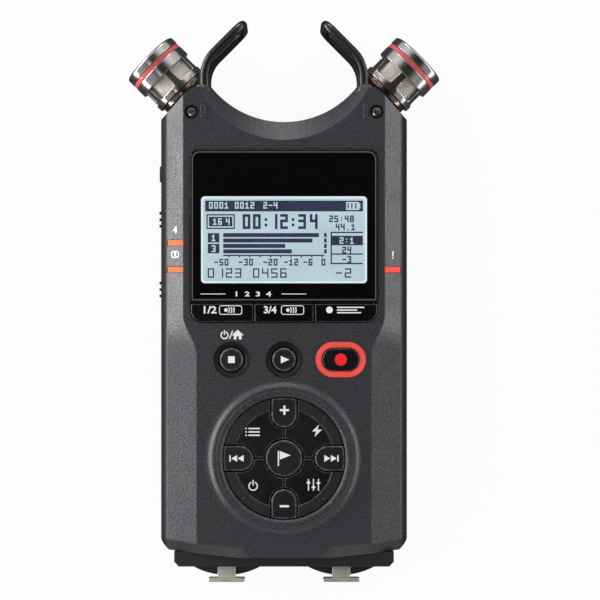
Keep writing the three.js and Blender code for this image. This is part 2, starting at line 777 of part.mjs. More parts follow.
// Front shell
const frontOuter = frontLoft(-over, bodyTop + over, 0, 0, splitZ);
const frontBlank = cut(
  join(
    frontOuter.intersect(prism(plan, splitZ, faceZ + over)), dialRim,
    ...sides.map(([, side]) => guardFoot(side, 1))),
  lowerBevel(), cornerBevel(-1), cornerBevel(1));
const frontCavity = frontLoft(cavityBottomY, cavityTopY, sideWall, wall, splitZ - over);
const markY = pivotY - markDrop;
const frontMarks = sides.map(([, side]) => prism(roundedRect(
  side * (pivotX + markReach) - markHalfWidth, side * (pivotX + markReach) + markHalfWidth,
  markY, markY + markLength, markHalfWidth), faceZ - touch, faceZ + markHeight, tinySteps));
const screwSeatZ = faceZ - screwRecessDepth;
const screwEndZ = screwSeatZ - shankLength;
const screwHoles = sides.flatMap(([, side]) => [
  rodZ(screwRecessRadius, screwSeatZ, faceZ + over, side * screwX, screwY),
  rodZ(shankRadius + snugGap, screwEndZ - snugGap, faceZ, side * screwX, screwY, smallSegments)]);
piece("front_shell", cut(
  join(cut(frontBlank, archCut, frontCavity), ...posts, ...frontMarks),
  ...hornSlots, ...pinHoles, ...legHoles, ...socketBores, ...tabSlots, panelRoom, windowRecess, lcdOpening,
  softKeyOpening, dishedHole(stopKeyX), dishedHole(0), ringRecess, recordHole, dialHole, ...screwHoles,
  ...lampBars.map(([, side, y]) => lampBox(side, y, snugGap)), ...sideRooms), plastic);

// Rear shell: a rounded tray with the battery box, speaker slots and tripod boss
const rearCurve = Array.from({ length: backCurveSteps }, (_, i) => {
  const turn = (i + 1) / backCurveSteps * 90 * degree;
  return [backHalfWidth + Math.cos(turn) * backRun, sideBottomZ - Math.sin(turn) * sideBottomZ];
});
const rearHalf = [[bodyHalfWidth, splitZ], [bodyHalfWidth, sideBottomZ], ...rearCurve];
const rearOuter = loft(
  [-over, bodyTop + over].map((y) => mirrored(rearHalf).map(atLength(y))), seenFromBelow,
).intersect(prism(plan, -over, splitZ));
const cavityCurve = [[bodyHalfWidth, sideBottomZ], ...rearCurve.slice(0, -1)].map(([x, z]) => [
  x - sideWall * (x / bodyHalfWidth), Math.max(z, floorWall)]);
const cavityHalf = [[bodyHalfWidth - sideWall, splitZ + over], ...cavityCurve];
const rearCavity = loft(
  [cavityBottomY, cavityTopY].map((y) => mirrored(cavityHalf).map(atLength(y))), seenFromBelow);
const boxTopZ = cellZ + cellRadius + slideGap;
const boxOuterX = boxHalfWidth + boxWall;
const batteryBox = block(
  -boxOuterX, boxOuterX, boxBottomY - boxWall, boxTopY + boxWall, floorWall - touch, boxTopZ + boxWall);
const batteryRoom = block(-boxHalfWidth, boxHalfWidth, boxBottomY, boxTopY, -over, boxTopZ);
const coverRoom = prism(roundedRect(
  -coverHalfWidth - coverFit, coverHalfWidth + coverFit,
  coverBottomY - coverTravel - coverFit, coverTopY + coverFit, coverCorner), -over, coverThick);
const bushBoss = rodZ(bossRadius, floorWall - touch, bushLength + boxWall, 0, tripodY);
const bushRoom = rodZ(bushRadius + snugGap, -over, bushLength + snugGap, 0, tripodY);
const speakerWell = cut(
  rodZ(speakerRadius + boxWall + keyGap, floorWall - touch, floorWall + speakerThick, speakerX, speakerY),
  rodZ(speakerRadius + keyGap, 0, floorWall + speakerThick + over, speakerX, speakerY));
const speakerSlots = Array.from({ length: speakerSlotCount }, (_, i) => {
  const x = speakerX + (i - (speakerSlotCount - 1) / 2) * speakerSlotPitch;
  const slot = roundedRect(
    x - speakerSlotWidth / 2, x + speakerSlotWidth / 2,
    speakerY - speakerSlotHalfLength, speakerY + speakerSlotHalfLength, speakerSlotWidth / 2);
  return prism(slot, -over, floorWall + over, tinySteps);
});
const backScrewX = bodyHalfWidth - backScrewInset;
const backScrewHoles = sides.flatMap(([, side]) => backScrewPlaces.map((y) => rodZ(
  backScrewRadius, -over, backScrewDepth, side * backScrewX, y, smallSegments)));
const belowSplit = block(-bodyHalfWidth, bodyHalfWidth, 0, footTopY + over, 0, splitZ);
piece("rear_shell", cut(
  join(
    cut(rearOuter, archCut, rearCavity), batteryBox, bushBoss, speakerWell,
    ...sides.map(([, side]) => guardFoot(side, -1).intersect(belowSplit))),
  ...hornSlots, ...pinHoles, ...legHoles, ...socketBores, panelRoom, batteryRoom, coverRoom, bushRoom,
  ...speakerSlots, ...backScrewHoles), plastic);

// Battery cover, cells and contacts
const coverGrips = Array.from({ length: coverGripCount }, (_, i) => {
  const y = coverGripY + i * coverGripPitch;
  return block(-coverGripHalfLength, coverGripHalfLength, y, y + coverGripWidth, -over, coverGripDepth);
});
const coverOutline = roundedRect(-coverHalfWidth, coverHalfWidth, coverBottomY, coverTopY, coverCorner);
piece("battery_cover", cut(prism(coverOutline, 0, coverThick - coverFit), ...coverGrips), plastic);
const cellTipY = boxTopY - keyGap - contactThick - slideGap;
const cellShoulderY = cellTipY - cellTipLength;
const cellBottomY = cellShoulderY - cellLength;
["left", "middle", "right"].forEach((place, i) => {
  const geometry = turned([
    [0, cellBottomY], [cellRadius, cellBottomY], [cellRadius, cellShoulderY],
    [cellTipRadius, cellShoulderY], [cellTipRadius, cellTipY], [0, cellTipY]], segments / 2);
  geometry.translate((i - 1) * cellPitch, 0, cellZ);
  piece(`battery_${place}`, solid(geometry), cellGrey);
});
function contactPlate(y0, y1) {
  const half = boxHalfWidth - slideGap;
  return block(-half, half, y0, y1, cellZ - cellRadius + slideGap, cellZ + cellRadius - slideGap);
}
piece("battery_contacts", contactPlate(cellTipY + slideGap, boxTopY - keyGap), brightNickel);
const springPlateY = boxBottomY + keyGap + contactThick;
const springs = [-1, 0, 1].map((i) => {
  const geometry = turned([
    [0, springPlateY - touch], [springBaseRadius, springPlateY - touch],
    [springTipRadius, cellBottomY - keyGap], [0, cellBottomY - keyGap]], smallSegments);
  geometry.translate(i * cellPitch, 0, cellZ);
  return solid(geometry);
});
piece("battery_springs", join(contactPlate(boxBottomY + keyGap, springPlateY), ...springs), brightNickel);

// Speaker and tripod bush in the back
const magnetZ = floorWall + speakerMagnetThick;
piece("speaker", turnedZ([
  [0, floorWall + keyGap], [speakerRadius, floorWall + keyGap], [speakerRadius, magnetZ],
  [speakerMagnetRadius, magnetZ], [speakerMagnetRadius, floorWall + speakerThick],
  [0, floorWall + speakerThick]], speakerX, speakerY, segments / 2), darkNickel);
piece("tripod_bush", turnedZ([
  [bushHole, 0], [bushRadius, 0], [bushRadius, bushLength], [0, bushLength], [0, bushHoleDepth],
  [bushHole, bushHoleDepth], [bushHole, 0]], 0, tripodY), brass);

// Main board and display
piece("main_board", block(
  -boardHalfWidth, boardHalfWidth, boardBottomY, boardTopY, boardZ, boardZ + boardThick), boardGreen);
piece("lcd_module", block(
  -lcdHalfWidth, lcdHalfWidth, lcdBottomY, lcdTopY, boardZ + boardThick, ledgeZ - lcdGap), lcdBlue);
piece("display_window", prism(roundedRect(
  -windowHalfWidth, windowHalfWidth, windowBottomY, windowTopY, windowCorner),
ledgeZ, faceZ + windowProud), glossBlack);

// Keys; each wider flange keeps its key from falling out
const flangeTopZ = faceZ - wall - keyGap;
const softKeys = [
  ["left", -softKeyOuterX, -softKeySplitX - dialGroove / 2, [softKeyCorner, 0, 0, 0]],
  ["middle", -softKeySplitX + dialGroove / 2, softKeySplitX - dialGroove / 2, 0],
  ["right", softKeySplitX + dialGroove / 2, softKeyOuterX, [0, softKeyCorner, 0, 0]],
];
for (const [place, x0, x1, radii] of softKeys) {
  piece(`soft_key_${place}`, prism(
    roundedRect(x0, x1, softKeyBottomY, softKeyTopY - keyGap, radii), keyBottomZ, keyTopZ), glossBlack);
}
function roundKey(name, x) {
  piece(name, turnedZ([
    [0, keyBottomZ], [roundKeyRadius + flangeRim, keyBottomZ], [roundKeyRadius + flangeRim, flangeTopZ],
    [roundKeyRadius, flangeTopZ], [roundKeyRadius, keyTopZ - keyGap], [roundKeyRadius - keyGap, keyTopZ],
    [0, keyTopZ]], x, keyRowY), keyBlack);
}
roundKey("stop_key", stopKeyX);
roundKey("play_key", 0);
piece("record_key", join(
  prism(stadium(recordX, keyRowY, recordHalfLength, recordRadius), keyBottomZ, keyTopZ),
  prism(stadium(recordX, keyRowY, recordHalfLength + flangeRim, recordRadius + flangeRim),
    keyBottomZ, flangeTopZ)), keyBlack);
piece("record_ring", cut(
  prism(stadium(recordX, keyRowY, ringHalfLength, ringRadius), faceZ - ringThick, faceZ + ringProud),
  prism(recordHoleOutline, faceZ - ringThick - over, faceZ + over)), glowRed);

// Dial: four arms, four quadrants and the centre key
function armOutline(room) {
  const half = armHalfWidth + room;
  const endX = armInnerRadius + armHalfWidth;
  const shape = new THREE.Shape();
  shape.moveTo(dialRadius + over, -half);
  shape.lineTo(dialRadius + over, half);
  shape.lineTo(endX, half);
  shape.absarc(endX, 0, half, 90 * degree, 270 * degree);
  return shape;
}
function armSolid(turn, room, z0, z1) {
  const geometry = new THREE.ExtrudeGeometry(armOutline(room), {
    depth: z1 - z0, bevelEnabled: false, curveSegments: smallSegments });
  geometry.rotateZ(turn);
  geometry.translate(0, dialY, z0);
  return solid(geometry);
}
const dialDisc = rodZ(dialRadius, keyBottomZ, dialTopZ, 0, dialY, fineSegments);
["forward_key", "plus_key", "back_key", "minus_key"].forEach((name, quarter) => {
  piece(name, armSolid(quarter * 90 * degree, 0, keyBottomZ, dialTopZ).intersect(dialDisc), keyBlack);
});
const armRooms = [0, 1, 2, 3].map((quarter) => armSolid(
  quarter * 90 * degree, dialGroove, keyBottomZ - over, dialTopZ + over));
const quadrantDisc = cut(
  dialDisc, rodZ(enterRadius + dialGroove, keyBottomZ - over, dialTopZ + over, 0, dialY),
  rodZ(dialRadius - quadrantBorder, dialTopZ - quadrantDish, dialTopZ + over, 0, dialY), ...armRooms);
const quadrants = [
  ["upper_right", 1, 1], ["upper_left", -1, 1], ["lower_left", -1, -1], ["lower_right", 1, -1]];
for (const [place, sx, sy] of quadrants) {
  const [near, far] = [dialGroove / 2, dialRadius + over];
  const [y0, y1] = [sy * near, sy * far].sort((a, b) => a - b);
  const quarter = block(sx * near, sx * far, dialY + y0, dialY + y1, keyBottomZ - over, dialTopZ + over);
  const pipReach = (dialRadius - pipInset) * Math.SQRT1_2;
  const pip = rodZ(
    pipRadius, dialTopZ - touch, dialTopZ + pipHeight, sx * pipReach, dialY + sy * pipReach, curveSegments);
  piece(`quadrant_key_${place}`, join(quadrantDisc.intersect(quarter), pip), glossBlack);
}
piece("enter_key", turnedZ([
  [0, keyBottomZ], [enterRadius, keyBottomZ], [enterRadius, faceZ + enterProud - keyGap],
  [enterRadius - keyGap, faceZ + enterProud], [0, faceZ + enterProud]], 0, dialY), keyBlack);

// Indicator bars, flush with the facets
const lampCore = frontLoft(-over, bodyTop + over, lampDepth, lampDepth, splitZ - over);
for (const [name, side, y, colour] of lampBars) {
  piece(name, cut(frontOuter.intersect(lampBox(side, y, 0)), lampCore), colour);
}

// Screws in the horns
for (const [place, side] of sides) {
  piece(`front_screw_${place}`, turnedZ([
    [0, screwEndZ], [shankRadius, screwEndZ], [shankRadius, screwSeatZ],
    [screwHeadRadius, screwSeatZ], [screwHeadRadius, screwSeatZ + screwHeadThick / 2],
    [shankRadius, screwSeatZ + screwHeadThick], [0, screwSeatZ + screwHeadThick]],
  side * screwX, screwY, smallSegments), brightNickel);
}

// Side controls
function sideSwitch(name, y) {
  const bar = (x0, x1, y0, y1) => block(
    x0 - bodyHalfWidth, x1 - bodyHalfWidth, y0, y1, sideZ - switchHalfHeight, sideZ + switchHalfHeight);
  const ribs = Array.from({ length: ribCount }, (_, i) => {
    const ribY = y + (i - (ribCount - 1) / 2) * ribPitch;
    return bar(-ribProud, 0, ribY - ribWidth / 2, ribY + ribWidth / 2);
  });
  const knob = bar(-rockerProud, switchInner, y - switchHalfLength, y + switchHalfLength);
  piece(name, join(knob, ...ribs), panelBlack);
}
sideSwitch("input_switch", inputSwitchY);
sideSwitch("hold_switch", holdSwitchY);
function rocker(name, side, y) {
  piece(name, block(
    side * (bodyHalfWidth - rockerThick), side * (bodyHalfWidth + rockerProud),
    y - rockerHalfLength, y + rockerHalfLength,
    sideZ - rockerHalfHeight, sideZ + rockerHalfHeight), panelBlack);
}
rocker("volume_rocker", -1, volumeY);
rocker("level_rocker", 1, levelY);
const phonesGeometry = turned([
  [0, -phonesLength], [phonesRadius, -phonesLength], [phonesRadius, phonesProud], [phonesBore, phonesProud],
  [phonesBore, phonesProud - phonesBoreDepth], [0, phonesProud - phonesBoreDepth]], smallSegments);
phonesGeometry.rotateZ(90 * degree);
phonesGeometry.translate(-bodyHalfWidth, phonesY, sideZ);
piece("phones_jack", solid(phonesGeometry), panelBlack);
function usbBlock(x0, x1, inset) {
  return block(
    x0, x1, usbY - usbHalfWidth + inset, usbY + usbHalfWidth - inset,
    sideZ - usbHalfHeight + inset, sideZ + usbHalfHeight - inset);
}
piece("usb_port", cut(
  usbBlock(bodyHalfWidth - usbDepth, bodyHalfWidth, 0),
  usbBlock(bodyHalfWidth - usbOpenDepth, bodyHalfWidth + over, usbWall)), brightNickel);
piece("card_door", block(
  bodyHalfWidth - doorThick, bodyHalfWidth, doorY - doorHalfLength, doorY + doorHalfLength,
  sideZ - doorHalfHeight, sideZ + doorHalfHeight), panelBlack);

// End panel, combo sockets and their release tabs
const panelOutline = shapeOf(mirrored([
  [panelHalfWidth - panelCornerX, 0], [panelHalfWidth, panelCornerY], [panelHalfWidth, panelDepthY]]));
function socketPad(side) {
  const centreY = padRadius - padReach;
  const spread = Math.acos(centreY / padRadius);
  const shape = new THREE.Shape();
  shape.absarc(side * socketX, centreY, padRadius, -90 * degree - spread, -90 * degree + spread);
  shape.lineTo(side * socketX, panelDepthY / 2);
  return prism(shape, socketZ - padHalfDepth, socketZ + padHalfDepth, smallSegments);
}
piece("end_panel", cut(
  join(prism(panelOutline, panelBackZ, panelFrontZ), socketPad(-1), socketPad(1)),
  ...socketBores, ...tabSlots), panelBlack);
for (const [place, side] of sides) {
  const mouth = -padReach;
  const core = mouth + coreInset * 2;
  const grooveEnd = mouth + grooveDepth;
  const geometry = turned([
    [0, core + plugHoleDepth], [plugHoleRadius, core + plugHoleDepth], [plugHoleRadius, core],
    [coreRadius, core], [coreRadius, grooveEnd], [grooveOuterRadius, grooveEnd], [grooveOuterRadius, mouth],
    [barrelRadius, mouth], [barrelRadius, barrelLength - over], [0, barrelLength - over]]);
  geometry.translate(side * socketX, 0, socketZ);
  const crown = rodZ(
    padRadius - coreInset, socketZ - barrelRadius - over, socketZ + barrelRadius + over, side * socketX,
    padRadius - padReach, fineSegments);
  piece(`combo_socket_${place}`, solid(geometry).intersect(crown), panelBlack);

  const stem = block(
    side * socketX - tabStemWidth / 2, side * socketX + tabStemWidth / 2, tabPadThick - tabReach - touch,
    tabStemInnerY, tabStemZ - tabStemThick / 2, tabStemZ + tabStemThick / 2);
  const padOutline = roundedRect(
    side * socketX - tabPadWidth / 2, side * socketX + tabPadWidth / 2,
    -tabReach, tabPadThick - tabReach, tabCorner);
  const pad = prism(padOutline, tabPadZ - tabPadDepth / 2, tabPadZ + tabPadDepth / 2);
  piece(`release_tab_${place}`, join(stem, pad), brightNickel);
}

// Microphones: each turns about a pin across its horn
function cageWindows() {
  const halfChord = headRadius * Math.sin(windowSpan / 2);
  return Array.from({ length: windowCount }, (_, i) => {
    const outline = roundedRect(
      -halfChord, halfChord, windowStart, windowEnd, [windowCornerRadius, windowCornerRadius, 0, 0]);
    const geometry = new THREE.ExtrudeGeometry(outline, {
      depth: headRadius, bevelEnabled: false, curveSegments: tinySteps });
    geometry.translate(0, 0, cageBore / 2);
    geometry.rotateY(firstBarAngle + (i + 1 / 2) / windowCount * 360 * degree);
    return solid(geometry);
  });
}
for (const [place, side] of sides) {
  const swing = new THREE.Group();
  swing.position.set(side * pivotX, pivotY, splitZ);
  swing.rotation.z = -side * openAngle;
  recorder.add(swing);

  const drum = rodZ(hubRadius, -hubHalfThick, hubHalfThick, 0, 0);
  const neck = block(-neckHalfWidth, neckHalfWidth, 0, neckLength + touch, -hubHalfThick, hubHalfThick);
  const collarEnd = micBase - snugGap;
  const collar = solid(turned([
    [0, neckLength], [collarRadius, neckLength], [collarRadius, collarEnd], [capsuleRadius, collarEnd],
    [capsuleRadius, capsuleLength], [0, capsuleLength]]));
  const pinHole = rodZ(pinRadius + snugGap, -hubHalfThick - over, hubHalfThick + over, 0, 0, smallSegments);
  piece(`mic_hub_${place}`, cut(join(drum, neck, collar), pinHole), darkNickel, swing);
  const pin = rodZ(pinRadius, -pinHalfLength, pinHalfLength, 0, 0, smallSegments);
  piece(`pivot_pin_${place}`, pin, brightNickel, swing);

  const cageInner = capsuleRadius + snugGap;
  const bandEnd = bandStart + bandWidth;
  const bandFloor = headRadius - bandDepth;
  const cage = solid(turned([
    [cageInner, micBase], [cageRadius, micBase], [cageRadius, windowEnd], [headRadius, windowEnd],
    [headRadius, bandStart], [bandFloor, bandStart], [bandFloor, bandEnd], [headRadius, bandEnd],
    [headRadius, micTip - tipChamfer], [headRadius - tipChamfer, micTip], [cageBore, micTip],
    [cageBore, micBase + capThick], [cageInner, micBase + capThick], [cageInner, micBase]], cageSegments));
  piece(`mic_cage_${place}`, cut(cage, ...cageWindows()), darkNickel, swing);
  const meshBottom = micBase + capThick + snugGap;
  const meshTop = micTip - capThick - capInset - snugGap;
  piece(`mic_mesh_${place}`, solid(turned([
    [meshRadius - meshThick, meshBottom], [meshRadius, meshBottom], [meshRadius, meshTop],
    [meshRadius - meshThick, meshTop], [meshRadius - meshThick, meshBottom]])), meshGrey, swing);
  const [bandLow, bandHigh] = [bandStart + snugGap, bandEnd - snugGap];
  piece(`mic_band_${place}`, solid(turned([
    [bandFloor + snugGap, bandLow], [headRadius - bandInset, bandLow], [headRadius - bandInset, bandHigh],
    [bandFloor + snugGap, bandHigh], [bandFloor + snugGap, bandLow]])), bandRed, swing);
  const capRim = micTip - capInset;
  piece(`mic_cap_${place}`, solid(turned([
    [0, capRim - capThick], [cageBore - snugGap, capRim - capThick], [cageBore - snugGap, capRim - capDome],
    [cageBore / 2, capRim - capDome / 4], [0, capRim]])), darkNickel, swing);
}

// Guards: a round rod from the front foot over the microphone to the rear foot
class GuardPath extends THREE.CurvePath {
  constructor(side) {
    super();
    const [front, rear] = [splitZ + legSpread, splitZ - legSpread];
    const [tipX, tipY] = [pivotX - guardRun, bendY + guardRun];
    const slope = Math.SQRT1_2;
    const at = (x, y) => (z) => new THREE.Vector3(side * x, y, z);
    const legEnd = at(pivotX, legEndY);
    const legTop = at(pivotX, bendY - bendRadius);
    const bend = at(pivotX, bendY);
    const bendEnd = at(pivotX - bendRadius * slope, bendY + bendRadius * slope);
    const slopeEnd = at(tipX + crossCorner * slope, tipY - crossCorner * slope);
    const corner = at(tipX, tipY);
    this.add(new THREE.LineCurve3(legEnd(front), legTop(front)));
    this.add(new THREE.QuadraticBezierCurve3(legTop(front), bend(front), bendEnd(front)));
    this.add(new THREE.LineCurve3(bendEnd(front), slopeEnd(front)));
    this.add(new THREE.QuadraticBezierCurve3(slopeEnd(front), corner(front), corner(front - crossCorner)));
    this.add(new THREE.LineCurve3(corner(front - crossCorner), corner(rear + crossCorner)));
    this.add(new THREE.QuadraticBezierCurve3(corner(rear + crossCorner), corner(rear), slopeEnd(rear)));
    this.add(new THREE.LineCurve3(slopeEnd(rear), bendEnd(rear)));
    this.add(new THREE.QuadraticBezierCurve3(bendEnd(rear), bend(rear), legTop(rear)));
    this.add(new THREE.LineCurve3(legTop(rear), legEnd(rear)));
  }
}
const rodSection = shapeOf(Array.from({ length: rodSides }, (_, i) => {
  const angle = i / rodSides * 360 * degree;
  return [Math.cos(angle) * rodRadius, Math.sin(angle) * rodRadius];
}));
for (const [place, side] of sides) {
  const rod = new THREE.ExtrudeGeometry(rodSection, {
    steps: rodSteps, bevelEnabled: false, extrudePath: new GuardPath(side) });
  piece(`guard_${place}`, solid(rod), glossBlack);
}

// The origin lies under the middle of the whole, on the surface that the recorder lies on.
const topY = bendY + guardRun + rodRadius;
recorder.position.y = -(topY - tabReach) / 2;

export default recorder;
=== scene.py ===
# %% [markdown]
# # A hand-held recorder with two swinging microphones
#
# The recorder lies on its back on a white table and is seen from straight above.
# Its solids come from the CAD frame. This file dresses them: it rounds the edges that a mould
# leaves round, builds the small parts that solids leave out, and gives each surface its finish.

# %% Load the frame
import json
import math

import bmesh
import bpy
from mathutils import Matrix, Vector

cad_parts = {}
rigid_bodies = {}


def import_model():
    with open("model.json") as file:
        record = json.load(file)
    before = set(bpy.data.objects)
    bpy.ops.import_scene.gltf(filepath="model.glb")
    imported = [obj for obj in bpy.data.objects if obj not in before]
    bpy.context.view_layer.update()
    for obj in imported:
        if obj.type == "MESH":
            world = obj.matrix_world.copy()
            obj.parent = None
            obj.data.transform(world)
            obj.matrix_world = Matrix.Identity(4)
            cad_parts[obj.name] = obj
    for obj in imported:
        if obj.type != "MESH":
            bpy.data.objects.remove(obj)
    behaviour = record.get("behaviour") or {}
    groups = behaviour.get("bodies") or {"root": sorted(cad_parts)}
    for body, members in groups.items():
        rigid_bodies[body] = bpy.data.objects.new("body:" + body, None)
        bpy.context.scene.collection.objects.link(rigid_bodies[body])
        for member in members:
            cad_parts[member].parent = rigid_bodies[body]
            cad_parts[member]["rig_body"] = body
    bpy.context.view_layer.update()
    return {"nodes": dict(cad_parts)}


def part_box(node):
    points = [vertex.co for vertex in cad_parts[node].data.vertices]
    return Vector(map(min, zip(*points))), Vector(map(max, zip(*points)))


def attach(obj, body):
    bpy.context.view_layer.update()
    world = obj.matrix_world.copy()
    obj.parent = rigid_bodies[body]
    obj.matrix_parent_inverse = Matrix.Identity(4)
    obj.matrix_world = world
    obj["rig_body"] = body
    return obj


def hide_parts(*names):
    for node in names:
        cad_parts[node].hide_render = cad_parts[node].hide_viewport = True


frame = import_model()

# %% [markdown]
# Sizes of such a product are thought of in millimetres from the foot of its housing. Blender wants
# metres in the frame's own axes, so a small helper turns one into the other.

# %% Millimetres from the foot
MM = 0.001
FOOT_TO_MIDDLE = 75.4


def place(x, y, z):
    """A point in millimetres from the foot of the housing, as a Vector in the frame."""
    return Vector((x, y - FOOT_TO_MIDDLE, z)) * MM


print("the foot is at", tuple(round(v, 4) for v in place(0, 0, 0)))

# %% [markdown]
# The photograph is taken from straight above the display with a long lens. The camera looks down
# along -Z, and a small sideways shift puts the recorder left of the middle of the picture.

# %% Camera
PICTURE_SIDE = 600
SHIFT = 16
SENSOR = 36.0
LENS = 139.26
NEAREST = 0.01
CAMERA_AT = (0, 0.0003, 0.6875)


def linked(name, data):
    """A new object for a mesh, a curve, a lamp or a camera, in the scene."""
    thing = bpy.data.objects.new(name, data)
    bpy.context.scene.collection.objects.link(thing)
    return thing


camera_data = bpy.data.cameras.new("camera")
camera_data.sensor_width = SENSOR
camera_data.lens = LENS
camera_data.shift_x = SHIFT / PICTURE_SIDE
camera_data.clip_start = NEAREST
camera = linked("camera", camera_data)
camera.location = CAMERA_AT
bpy.context.scene.camera = camera
bpy.context.scene.view_settings.view_transform = "Standard"
print("camera height", camera.location.z)


# %% [markdown]
# Floor, light and every finish are trees of nodes. A tree can be drawn by hand, but a script is
# read from top to bottom and used again, so the trees are written in words here. `Words` writes
# into one tree: a value that is a socket or a node is joined to the input, and any other value is
# put into it.

# %% Node trees in words
class Words:
    """Builds one node tree."""

    def __init__(self, tree):
        self.tree = tree

    def wire(self, inputs, values):
        """Puts each value into its input. A node stands for its first result, a list for several."""
        for key, value in values.items():
            for source in value if isinstance(value, list) else [value]:
                if isinstance(source, bpy.types.Node):
                    source = source.outputs[0]
                if isinstance(source, bpy.types.NodeSocket):
                    self.tree.links.new(source, inputs[key])
                else:
                    inputs[key].default_value = source

    def put(self, kind, values=None, **settings):
        """A node with its settings and its inputs, by name or number."""
        node = self.tree.nodes.new(kind)
        for key, value in settings.items():
            setattr(node, key, value)
        self.wire(node.inputs, values or {})
        return node

    def calc(self, operation, *values):
        """One Math node."""
        return self.put("ShaderNodeMath", dict(enumerate(values)), operation=operation)

    def vector(self, operation, *values):
        """One Vector Math node."""
        return self.put("ShaderNodeVectorMath", dict(enumerate(values)), operation=operation)

    def length(self, value):
        """The length of a vector."""
        return self.vector("LENGTH", value).outputs["Value"]

    def part(self, value, axis):
        """One part of a vector."""
        return self.put("ShaderNodeSeparateXYZ", {0: value}).outputs[axis]

    def point(self, **parts):
        """A vector from its parts."""
        return self.put("ShaderNodeCombineXYZ", parts)

    def mixed(self, share, first, second, mode="MIX"):
        """Two colours mixed by a share."""
        return self.put("ShaderNodeMix", {0: share, 6: first, 7: second},
                        data_type="RGBA", blend_type=mode).outputs[2]

    def ranged(self, value, low, high, start=0.0, end=1.0):
        """A value stretched from one range to another, and held at its ends."""
        return self.put("ShaderNodeMapRange", {0: value, 1: low, 2: high, 3: start, 4: end})

    def coordinates(self):
        """The Object coordinates, which keep a pattern fixed to its piece."""
        return self.put("ShaderNodeTexCoord").outputs["Object"]

    def use(self, group, **values):
        """A shader group placed in a material with its own values."""
        named = {key.replace("_", " "): value for key, value in values.items()}
        return self.put("ShaderNodeGroup", named, node_tree=group.tree).outputs


print("node words ready")

# %% [markdown]
# A product picture hides its table. The floor here is a real pale floor, which takes the shadow of
# the recorder, but the camera sees it almost white, and polished parts see a pale table further
# off. Close by they see the dark strips that a photographer lays along a shiny thing, which draw
# its edges dark. A Light Path node tells the floor who is looking.

# %% Floor
FLOOR_HALF = 1.5
FLOOR_PAPER = 0.85
FLOOR_GLOW = 0.93
STRIPS_END = 0.16
PALE_START = 0.40
STRIPS_GLOW = 0.05
PALE_GLOW = 0.9


def grey(level):
    """A neutral linear colour."""
    return (level, level, level, 1)


def from_scratch(owner):
    """Words for the node tree of a material or a world, whose own nodes are cleared away."""
    owner.use_nodes = True
    owner.node_tree.nodes.clear()
    return Words(owner.node_tree)


floor_mesh = bpy.data.meshes.new("floor")
floor_mesh.from_pydata(
    [(x * FLOOR_HALF, y * FLOOR_HALF, 0) for x, y in ((-1, -1), (1, -1), (1, 1), (-1, 1))],
    [], [(0, 1, 2, 3)])
floor = linked("floor", floor_mesh)
paper = bpy.data.materials.new("white_table")
words = from_scratch(paper)
rays = words.put("ShaderNodeLightPath").outputs
seen_directly = words.calc("MAXIMUM", rays["Is Camera Ray"], rays["Is Transmission Ray"])
glow = words.calc("MAXIMUM", words.calc("MULTIPLY", seen_directly, FLOOR_GLOW), rays["Is Glossy Ray"])
mirrored_glow = words.calc("MULTIPLY", rays["Is Glossy Ray"], words.ranged(
    words.length(words.coordinates()), STRIPS_END, PALE_START, STRIPS_GLOW, PALE_GLOW))
words.put("ShaderNodeOutputMaterial", {"Surface": words.put("ShaderNodeMixShader", {
    0: glow, 1: words.put("ShaderNodeBsdfDiffuse", {"Color": grey(FLOOR_PAPER)}),
    2: words.put("ShaderNodeEmission", {
        "Color": grey(1), "Strength": words.calc("MAXIMUM", seen_directly, mirrored_glow)})})})
floor_mesh.materials.append(paper)
print("floor", 2 * FLOOR_HALF, "m wide")

# %% [markdown]
# The world is white to the camera too. What polished parts mirror is another matter: glossy black
# only looks black with something dark straight above it, and plated metal needs a grey that swells
# and fades. So mirrors see a studio that is dark overhead, light half way down, and brighter beyond
# the head of the recorder than beyond its foot.

# %% World
WORLD_FILL = 0.6
# height of a direction (1 is straight up) and how bright mirrors see it
MIRRORED = ((0.0, 0.34), (0.25, 0.42), (0.60, 0.62), (0.80, 0.40), (0.90, 0.05), (1.0, 0.0))
# how much brighter the studio is beyond the head than it is beyond the foot
FOOT_SHARE = 0.4
HEAD_SHARE = 1.6
FADE_REACH = 0.7

world = bpy.data.worlds.new("studio")
bpy.context.scene.world = world
words = from_scratch(world)
rays = words.put("ShaderNodeLightPath").outputs
direction = words.put("ShaderNodeTexCoord").outputs["Generated"]
ramp = words.put("ShaderNodeValToRGB", {0: words.part(direction, "Z")})
steps = ramp.color_ramp.elements
steps[0].color = grey(MIRRORED[0][1])
steps[1].color = grey(MIRRORED[-1][1])
for height, brightness in MIRRORED[1:-1]:
    steps.new(height).color = grey(brightness)
towards_head = words.ranged(
    words.part(direction, "Y"), -FADE_REACH, FADE_REACH, FOOT_SHARE, HEAD_SHARE)
studio = words.mixed(1.0, ramp, towards_head, mode="MULTIPLY")
in_mirrors = words.mixed(rays["Is Glossy Ray"], grey(WORLD_FILL), studio)
words.put("ShaderNodeOutputWorld", {"Surface": words.put("ShaderNodeBackground", {
    "Color": words.mixed(rays["Is Camera Ray"], in_mirrors, grey(1)), "Strength": 1.0})})
print("world with", len(steps), "steps from the horizon up")

# %% [markdown]
# Soft boxes stand round the recorder. The flanks of the housing slant by 43 degrees, so from above
# they mirror the horizon: a strong, long and low box on the left makes the left flank bright while
# the flat front stays dark, and weaker ones do the same on the other sides. These four are centred
# under ten degrees, so that the glossy window doesn't mirror them when it is looked at from the
# side. A weak box higher on the left fills in, and the near box, just beside the camera, draws the
# white streak along the plated microphones.
# A soft box is given by its radiance, which is what a mirror sees, and Blender's power follows.

# %% Soft boxes
LAMP_AIM = Vector((0, 0, 0.02))
